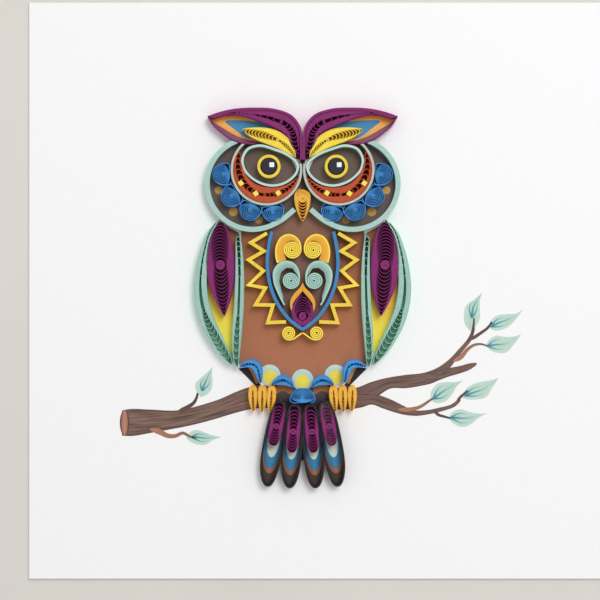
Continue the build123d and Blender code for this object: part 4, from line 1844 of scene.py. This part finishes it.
@dataclass(frozen=True)
class Skirt:
    """The skirt of printed scallops and blue arches about a half moon."""

    scallops: Points = ((-8.7, -22.4), (0, -23.6), (8.7, -22.4))
    scallop_radius: float = 2.85
    yellow_share: float = 0.8
    yellow_low: float = 0.16
    hem: Points = (
        (17.0, -20.6), (14.6, -20.2), (12.4, -21.2), (11.6, -24.2), (10.6, -25.4), (11.8, -25.8),
    )
    arches: tuple[Points, ...] = (
        ((16.8, -20.0), (15.4, -18.7), (13.5, -18.1), (12.0, -18.5), (10.9, -19.7), (10.5, -21.5),
         (10.9, -24.3)),
        ((8.3, -24.8), (7.7, -23.6), (6.6, -22.6), (5.0, -22.15), (3.5, -22.8), (2.6, -24.0),
         (2.3, -25.4)),
    )
    arch_half_widths: tuple[float, ...] = (1.25, 1.45)
    moon: Points = ((0, -29.6), (0, -27.7), (0, -25.7))
    linings: tuple[Points, ...] = (
        ((7.25, -26.1), (6.2, -24.9), (4.7, -24.7), (3.2, -25.6), (2.7, -27.0), (3.5, -27.4),
         (4.4, -26.7), (5.7, -26.6), (6.9, -27.1)),
        ((11.6, -22.8), (11.9, -21.2), (12.9, -20.4), (14.3, -20.4), (13.6, -21.6), (12.9, -23.2),
         (12.1, -24.6), (11.5, -24.0)),
    )
    under: Points = (
        (0, -24.0), (8.6, -24.4), (8.3, -26.5), (7.3, -28.6), (7.3, -31.0), (8.0, -36.0),
        (8.2, -41.5), (6.6, -42.5), (5.45, -44.6), (4.2, -42.5), (1.2, -43.2), (0, -45.2),
    )

    def _print(self, bench: Bench) -> None:
        """Print the scallops and the hem.

        Args:
            bench: Where the pieces are made.
        """
        mint = [on_card(circle(spot, self.scallop_radius)) for spot in self.scallops]
        bench.field("scallop_ink", mint, SCALLOP_INK, 3, ["scallop_print"])
        low = self.scallop_radius * self.yellow_low
        centres = on_card([(x, y - low) for x, y in self.scallops])
        glow = Glow("scallop_glow", "yellow_print", SCALLOP_STOPS, self.scallop_radius, centres)
        discs = [circle(spot, self.scallop_radius * self.yellow_share) for spot in centres]
        bench.field("scallop_yellow_ink", discs, glow, 4, ["scallop_yellow_print"])
        bench.field("hem_ink", both_sides([self.hem]), HEM_INK, 2, ["hem_print"])

    def build(self, bench: Bench) -> None:
        """Make the skirt.

        Args:
            bench: Where the pieces are made.
        """
        self._print(bench)
        coils, shades = [], []
        for edge, half_width in zip(self.arches, self.arch_half_widths):
            arch = Coil(
                edge, half_width, widest=0.5, powers=(0.6, 0.6), turns=6, core=0.2,
                spreads=(0.6, 0.6), side=1,
            )
            coils += both_sides([arch.path()])
            shades += both_sides([arch.outline()])
        moon = Coil(
            self.moon, half_width=3.4, widest=0.25, powers=(0.22, 0.5), turns=7, core=0.5,
            core_at=0.42, loose=True,
        )
        coils.append(on_card(moon.path()))
        shades.append(on_card(moon.outline()))
        # Painted shade under the skirt's arches and half moon, for the slits between their turns.
        bench.field("skirt_shade", shades, BLUE_SLIT_SHADE, 5)
        linings = [Line(edge, closed=True).points(40)[:-1] for edge in self.linings]
        bench.field("arch_ink", both_sides(linings), ARCH_INK, 4)
        bench.field("under_tail_ink", [on_card(whole(self.under))], UNDER_INK, 0)
        bench.strips("skirt_coils", coils, BLUE, ["skirt"])


@dataclass(frozen=True)
class Tail:
    """The tail's four feathers: printed bands, a dark outline and a purple coil each."""

    spines: tuple[Points, ...] = (
        ((1.95, -29.9), (2.25, -34.2), (2.75, -40.8), (3.2, -46.9), (3.4, -51.9)),
        ((5.75, -29.0), (6.7, -34.2), (8.05, -42.1), (8.85, -47.4), (9.2, -51.5)),
    )
    half_width: float = 2.72
    widest: float = 0.62
    powers: Point = (0.25, 0.44)
    outline_width: float = 0.55
    coil_lengths: tuple[float, ...] = (12.2, 11.4)
    coil_foot: float = 0.5
    coil_half_width: float = 1.82

    def _band(self, spine: Sequence[Point], last: float, inset: float, sign: int) -> Band:
        """Return the two edges of a printed band of a feather.

        Args:
            spine: Points along the feather.
            last: Share of the feather where the band ends.
            inset: How far the band stays from the feather's edge.
            sign: Side of the owl.

        Returns:
            The lower and the upper edge, each as the point at a share of the band.
        """
        line = Line(spine)
        half = self.half_width - self.outline_width / 2 - inset

        def edge(way: int) -> Edge:
            """Return one edge of the band.

            Args:
                way: -1 for the lower edge, and 1 for the upper one.

            Returns:
                The edge, as the point at a share of the band.
            """

            def point(share: float) -> Point:
                """Return the edge's point at a share of the band."""
                turned = (1 - cos(pi * share)) / 2
                width = max(half * swell(turned, self.widest, self.powers), TIP_LEAST)
                return on_card([line.aside(turned * last, way * width)], sign)[0]

            return point

        return edge(-1), edge(1)

    def build(self, bench: Bench) -> None:
        """Make the tail.

        Args:
            bench: Where the pieces are made.
        """
        inks = (
            ("tail_brown", 0.99, 0.0, TAIL_BROWN_INK),
            ("tail_terracotta", 0.86, 0.1, TAIL_TERRACOTTA_INK),
            ("tail_blue", 0.8, 0.2, TAIL_BLUE_INK),
            ("tail_mint", 0.67, 0.7, TAIL_MINT_INK),
        )
        for layer, (name, last, inset, ink) in enumerate(inks, 1):
            bands = [
                self._band(spine, last, inset, sign)
                for spine in self.spines
                for sign in SIDES.values()
            ]
            bench.bands(f"{name}_ink", bands, ink, layer, [f"{name}_print"])
        edges, coils, shades = [], [], []
        for spine, length in zip(self.spines, self.coil_lengths):
            outline = Leaf(spine, self.half_width, self.widest, self.powers).outline(60)
            edges += bundle(outline, self.outline_width, True)
            line = Line(spine)
            first = self.coil_foot / line.length
            last = (self.coil_foot + length) / line.length
            part = [line.aside(first + (last - first) * i / 6) for i in range(7)]
            coil = Coil(
                part, self.coil_half_width, widest=0.6, powers=(0.3, 0.4), turns=6, core=0.8,
                core_at=0.55,
            )
            coils.append(coil.path())
            shades.append(coil.outline())
        # Painted shade under the tail's purple coils, for the slits between their turns.
        bench.field("tail_shade", both_sides(shades), PURPLE_SLIT_SHADE, 5)
        bench.strips("tail_edges", both_sides(edges), TAIL_BROWN, ["tail_outlines"], closed=True)
        bench.strips("tail_purple_coils", both_sides(coils), PURPLE, ["tail_coils"])


@dataclass(frozen=True)
class Feet:
    """The two feet of three toes each."""

    toes: tuple[Points, ...] = (
        ((8.15, -24.9), (8.25, -28.2), (8.6, -31.8)),
        ((10.65, -24.9), (10.65, -28.2), (10.7, -31.9)),
        ((13.15, -24.9), (13.1, -28.2), (12.9, -31.7)),
    )
    half_width: float = 1.24

    def build(self, bench: Bench) -> None:
        """Make both feet.

        Args:
            bench: Where the pieces are made.
        """
        toes = [
            Coil(
                toe, self.half_width, widest=0.3, powers=(0.4, 0.7), turns=6, core=0.2,
                core_at=0.2, spreads=(1.0, 0.7),
            )
            for toe in self.toes
        ]
        # Painted light in the shaded slits of the toes: a light orange for the light bouncing off the
        # orange paper.
        bench.field("toe_shade", both_sides(toe.outline() for toe in toes), TOE_SLIT_SHADE, 5)
        bench.pairs(Pair("toe_coils", "toes", [toe.path() for toe in toes], ORANGE))


@dataclass(frozen=True)
class Swath:
    """A printed shape between two edges, such as a piece of the branch.

    Attributes:
        top: Upper edge from its foot to its end, on the photograph.
        under: Lower edge from its foot to its end.
    """

    top: Points
    under: Points

    def edges(self) -> Band:
        """Return the lower and the upper edge, each as the point at a share of its length."""
        return Line(spots(*self.under)).aside, Line(spots(*self.top)).aside


@dataclass(frozen=True)
class Blade(Swath):
    """A printed leaf, with veins that fan out from its foot.

    Attributes:
        foot: Where its veins start, as a share of its length.
        veins: For each vein, its length as a share of the leaf's, how far it swings out as a
            share of the leaf's width, and its own width in millimetres.
    """

    foot: float = 0.05
    veins: tuple[tuple[float, float, float], ...] = (
        (0.62, 0.0, 0.62), (0.42, 0.27, 0.5), (0.42, -0.27, 0.5),
    )

    def vein_edges(self) -> list[Band]:
        """Return the two edges of each vein.

        Returns:
            One band for each vein.
        """
        lower, upper = self.edges()

        def inside(share: float, across: float) -> Point:
            """Return the point at a share of the leaf's length and of its width."""
            start, end = lower(share), upper(share)
            return start[0] + (end[0] - start[0]) * across, start[1] + (end[1] - start[1]) * across

        def taper(width: float) -> Callable[[float], float]:
            """Return half of a vein's width at each share of its length."""
            return lambda share: width / 2 * (1 - 0.8 * share)

        found = []
        for reach, swing, width in self.veins:
            run = []
            for i in range(6):
                part = i / 5
                across = 0.5 + swing * min(1.0, 1.9 * part) ** 0.8
                run.append(inside(self.foot + reach * part, across))
            found.append(beside(Line(run), taper(width)))
        return found


@dataclass(frozen=True)
class Twig:
    """A printed twig that gets thinner towards its end.

    Attributes:
        run: Points along it, on the photograph.
        widths: Its width in millimetres at both ends.
    """

    run: Points
    widths: Point

    def _half(self, share: float) -> float:
        """Return half of the twig's width at a share of its length."""
        width = self.widths[0] + (self.widths[1] - self.widths[0]) * share
        return width * min(1.0, 6 * share + 0.02) ** 0.5 / 2

    def edges(self) -> Band:
        """Return its two edges, each as the point at a share of its length."""
        return beside(Line(spots(*self.run)), self._half)


@dataclass(frozen=True)
class Branch:
    """The printed branch with its cut end, twigs and leaves."""

    limbs: tuple[Swath, ...] = (
        Swath(
            ((122, 410.5), (128, 409.3), (150, 409.6), (178, 410.3), (190, 408), (205, 404),
             (220, 399), (235, 392.3), (248, 387.5), (262, 385), (275, 385)),
            ((122, 435.5), (128, 436), (150, 433), (165, 430.3), (190, 425.5), (215, 419),
             (235, 413), (250, 409.3), (262, 408), (275, 408)),
        ),
        Swath(
            ((329, 387), (345, 388), (357, 387.5), (370, 382.5), (385, 378.3), (405, 375),
             (425, 372.5), (438, 367.5), (449, 359.5), (458, 350), (469, 336.5), (472.5, 328)),
            ((329, 408), (345, 409.5), (357, 408), (371, 402), (381, 394), (390, 388.6),
             (405, 388.2), (420, 386), (437, 381), (449, 369), (456, 360), (463, 351),
             (472, 339), (475, 328)),
        ),
        Swath(
            ((329, 392), (345, 393), (360, 394), (380, 395.5), (392, 400), (403, 405.5),
             (413, 410), (425, 410.3), (440, 407.5), (452, 404), (459, 398)),
            ((329, 408), (352, 409), (363, 407), (371, 404.5), (382, 408), (392, 411.5),
             (403, 414.5), (416, 415.8), (430, 414), (446, 410), (455, 406.5), (461, 400)),
        ),
        Swath(
            ((425, 373), (437, 371), (449, 368), (460, 366), (470, 363.3), (476.5, 362.7)),
            ((425, 385), (437, 381), (449, 376.5), (460, 373.3), (470, 369.5), (476.5, 364.8)),
        ),
    )
    cut_middle: Point = (124.6, 422.7)
    cut_size: Point = (1.25, 3.3)
    twigs: tuple[Twig, ...] = (
        Twig(((178, 412), (188, 407), (194, 402.5), (196.8, 397), (197.6, 393)), (1.5, 0.5)),
        Twig(((468, 343), (472, 334), (473.5, 326), (474, 318)), (1.1, 0.4)),
        Twig(((470, 340), (480, 333.5), (488, 327.5), (492, 322)), (0.95, 0.6)),
        Twig(((457, 401.5), (461, 396.5), (465, 393), (468, 390.5)), (0.8, 0.5)),
        Twig(((434, 409), (438, 414.5), (444, 416.5), (452, 418.5)), (0.9, 0.45)),
    )
    red_twigs: tuple[Twig, ...] = (
        Twig(((150, 429), (160, 432), (168, 435.8), (175, 436), (183, 433), (190, 436.5),
              (196, 438)), (1.7, 0.4)),
        Twig(((453, 361), (461, 357), (467, 350), (473, 345.5), (480, 344), (487, 346)), (1.4, 0.35)),
        Twig(((398, 409.5), (409, 409.5), (420, 406.8), (429, 401), (437, 395.5)), (1.3, 0.4)),
    )
    blades: tuple[Blade, ...] = (
        Blade(((201, 397), (196, 390.5), (195.3, 384), (200, 378.5), (207, 372.5), (213, 366.5)),
              ((201, 397), (207, 394.5), (211.5, 389), (212.6, 381), (211.8, 374), (213, 366.5)),
              0.25),
        Blade(((186.5, 438), (190, 432), (197, 429.8), (205, 432.5), (213, 435.3), (221.5, 437)),
              ((186.5, 438), (191, 442), (198, 444.6), (206, 444.3), (213, 440), (221.5, 437)),
              0.2),
        Blade(((470.5, 331), (465.5, 325), (464, 314), (466.5, 305), (474, 299.5), (482.5, 292.5)),
              ((470.5, 331), (477, 325), (480, 318), (479.8, 308), (480, 300), (482.5, 292.5)),
              0.35),
        Blade(((489, 327), (492.5, 318.5), (499, 315), (508, 314), (516, 313.5), (523, 309)),
              ((489, 327), (494, 330.3), (502, 329.5), (510, 325.5), (516, 319), (523, 309)), 0.08),
        Blade(((486, 346), (490, 339), (496, 335.8), (505, 336.8), (513, 336.6), (521, 334.5)),
              ((486, 346), (491, 350.5), (499, 353), (507, 352), (513, 345.5), (521, 334.5)), 0.05),
        Blade(((431, 400), (432, 390), (438, 383.5), (447, 382), (455, 382), (463.5, 380.5)),
              ((431, 400), (437, 403), (445, 401.5), (452, 394.5), (457, 386), (463.5, 380.5)),
              0.12),
        Blade(((461.5, 397), (467, 388), (474, 383.8), (483, 381.5), (490, 380.5), (498.5, 378)),
              ((461.5, 397), (467, 399), (477, 399.3), (486, 397), (491.5, 389), (498.5, 378)),
              0.1),
        Blade(((448.5, 418), (453, 411.5), (460, 409.3), (468, 411.3), (477, 413.5), (488, 413)),
              ((448.5, 418), (454, 423.5), (463, 427), (471, 424), (479, 417.5), (488, 413)), 0.08),
    )

    def _cut(self) -> Band:
        """Return the edges of the cut end.

        Returns:
            Its right and its left half, each as the point at a share of its height.
        """
        middle = spots(self.cut_middle)[0]
        width, height = self.cut_size

        def rim(way: int) -> Edge:
            """Return one side of the cut end.

            Args:
                way: 1 for its right side, and -1 for its left.

            Returns:
                The side, as the point at a share of its height.
            """

            def point(share: float) -> Point:
                """Return the side's point at a share of its height."""
                across = way * max(width * sin(pi * share), TIP_LEAST / 2)
                return middle[0] + across, middle[1] - height * cos(pi * share)

            return point

        return rim(1), rim(-1)

    def build(self, bench: Bench) -> None:
        """Print the branch.

        Args:
            bench: Where the pieces are made.
        """
        limbs = [limb.edges() for limb in self.limbs[1:] + self.limbs[:1]]
        bench.bands("branch_ink", limbs, BARK, 1, ["branch_print"], (60, 6))
        bench.bands("branch_cut_ink", [self._cut()], CUT_INK, 3, ["branch_end_print"])
        blades = [blade.edges() for blade in self.blades]
        bench.bands("leaf_ink", blades, LEAF_INK, 2, ["leaf_print"], (28, 6))
        veins = [vein for blade in self.blades for vein in blade.vein_edges()]
        bench.bands("leaf_vein_ink", veins, VEIN_INK, 3, grid=(12, 1))
        twigs = [twig.edges() for twig in self.twigs]
        bench.bands("twig_ink", twigs, TWIG_INK, 4, ["twig_print"], (20, 2))
        twigs = [twig.edges() for twig in self.red_twigs]
        bench.bands("red_twig_ink", twigs, RED_TWIG_INK, 5, grid=(24, 2))


@dataclass(frozen=True)
class Studio:
    """The floor, the light and the camera.

    Attributes:
        floor_size: Side of the floor, in metres.
        look_at: Place on the card under the middle of the picture, in millimetres.
        view_width: Width of the card that the picture shows, in millimetres.
        lens: Focal length of the camera, in millimetres.
        sensor: Width of its sensor, in millimetres.
        sky: Strength of the even light from all round.
        key_power: Power of the soft lamp, in watts.
        key_spot: Place of the lamp, in metres. It points at the origin.
        key_size: Side of the lamp, in metres.
    """

    floor_size: float = 4.0
    look_at: Point = (-4.34, -2.46)
    view_width: float = 158.75
    lens: float = 90.0
    sensor: float = 36.0
    sky: float = 0.607
    key_power: float = 5.1
    key_spot: tuple[float, float, float] = (0.3, 0.42, 0.9)
    key_size: float = 0.45

    def _floor(self) -> None:
        """Lay a plain pale floor."""
        bpy.ops.object.select_all(action="DESELECT")
        bpy.ops.mesh.primitive_plane_add(size=self.floor_size, location=(0, 0, 0))
        floor = bpy.context.object
        floor.name = "floor"
        nodes = Nodes("floor_paint", 0.8)
        cloud = nodes.noise(nodes.place("Object", (14, 14, 14)))
        color = nodes.ramp(cloud, {0.3: "d9d5ce", 0.7: "dedad3"})
        nodes.link(color, nodes.surface.inputs["Base Color"])
        floor.data.materials.append(nodes.material)

    def _light(self) -> None:
        """Light the card evenly, with one large soft lamp for its shadows."""
        world = bpy.data.worlds.new("room")
        world.use_nodes = True
        world.node_tree.nodes["Background"].inputs["Color"].default_value = (1.0, 1.0, 1.0, 1.0)
        world.node_tree.nodes["Background"].inputs["Strength"].default_value = self.sky
        bpy.context.scene.world = world
        lamp = bpy.data.lights.new("soft_lamp", "AREA")
        lamp.energy = self.key_power
        lamp.size = self.key_size
        holder = bpy.data.objects.new("soft_lamp", lamp)
        holder.location = self.key_spot
        holder.rotation_euler = (-Vector(self.key_spot)).to_track_quat("-Z", "Y").to_euler()
        bpy.context.scene.collection.objects.link(holder)

    def _camera(self) -> None:
        """Look straight down at the card."""
        data = bpy.data.cameras.new("overhead")
        data.lens = self.lens
        data.sensor_width = self.sensor
        data.clip_start = 0.01
        camera = bpy.data.objects.new("overhead", data)
        distance = self.view_width * self.lens / self.sensor
        height = PICTURE + distance
        camera.location = (self.look_at[0] * MM, self.look_at[1] * MM, height * MM)
        bpy.context.scene.collection.objects.link(camera)
        bpy.context.scene.camera = camera

    def build(self) -> None:
        """Set up the studio."""
        self._floor()
        self._light()
        self._camera()
        bpy.context.scene.view_settings.view_transform = "Standard"


def main() -> None:
    """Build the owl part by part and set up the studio."""
    bench = Bench()
    parts = (Card(), Branch(), Breast(), Face(), Ears(), Wings(), Skirt(), Tail(), Feet())
    for part in parts:
        log.info("Building %s", type(part).__name__)
        part.build(bench)
    Studio().build()


if __name__ == "__main__":
    main()
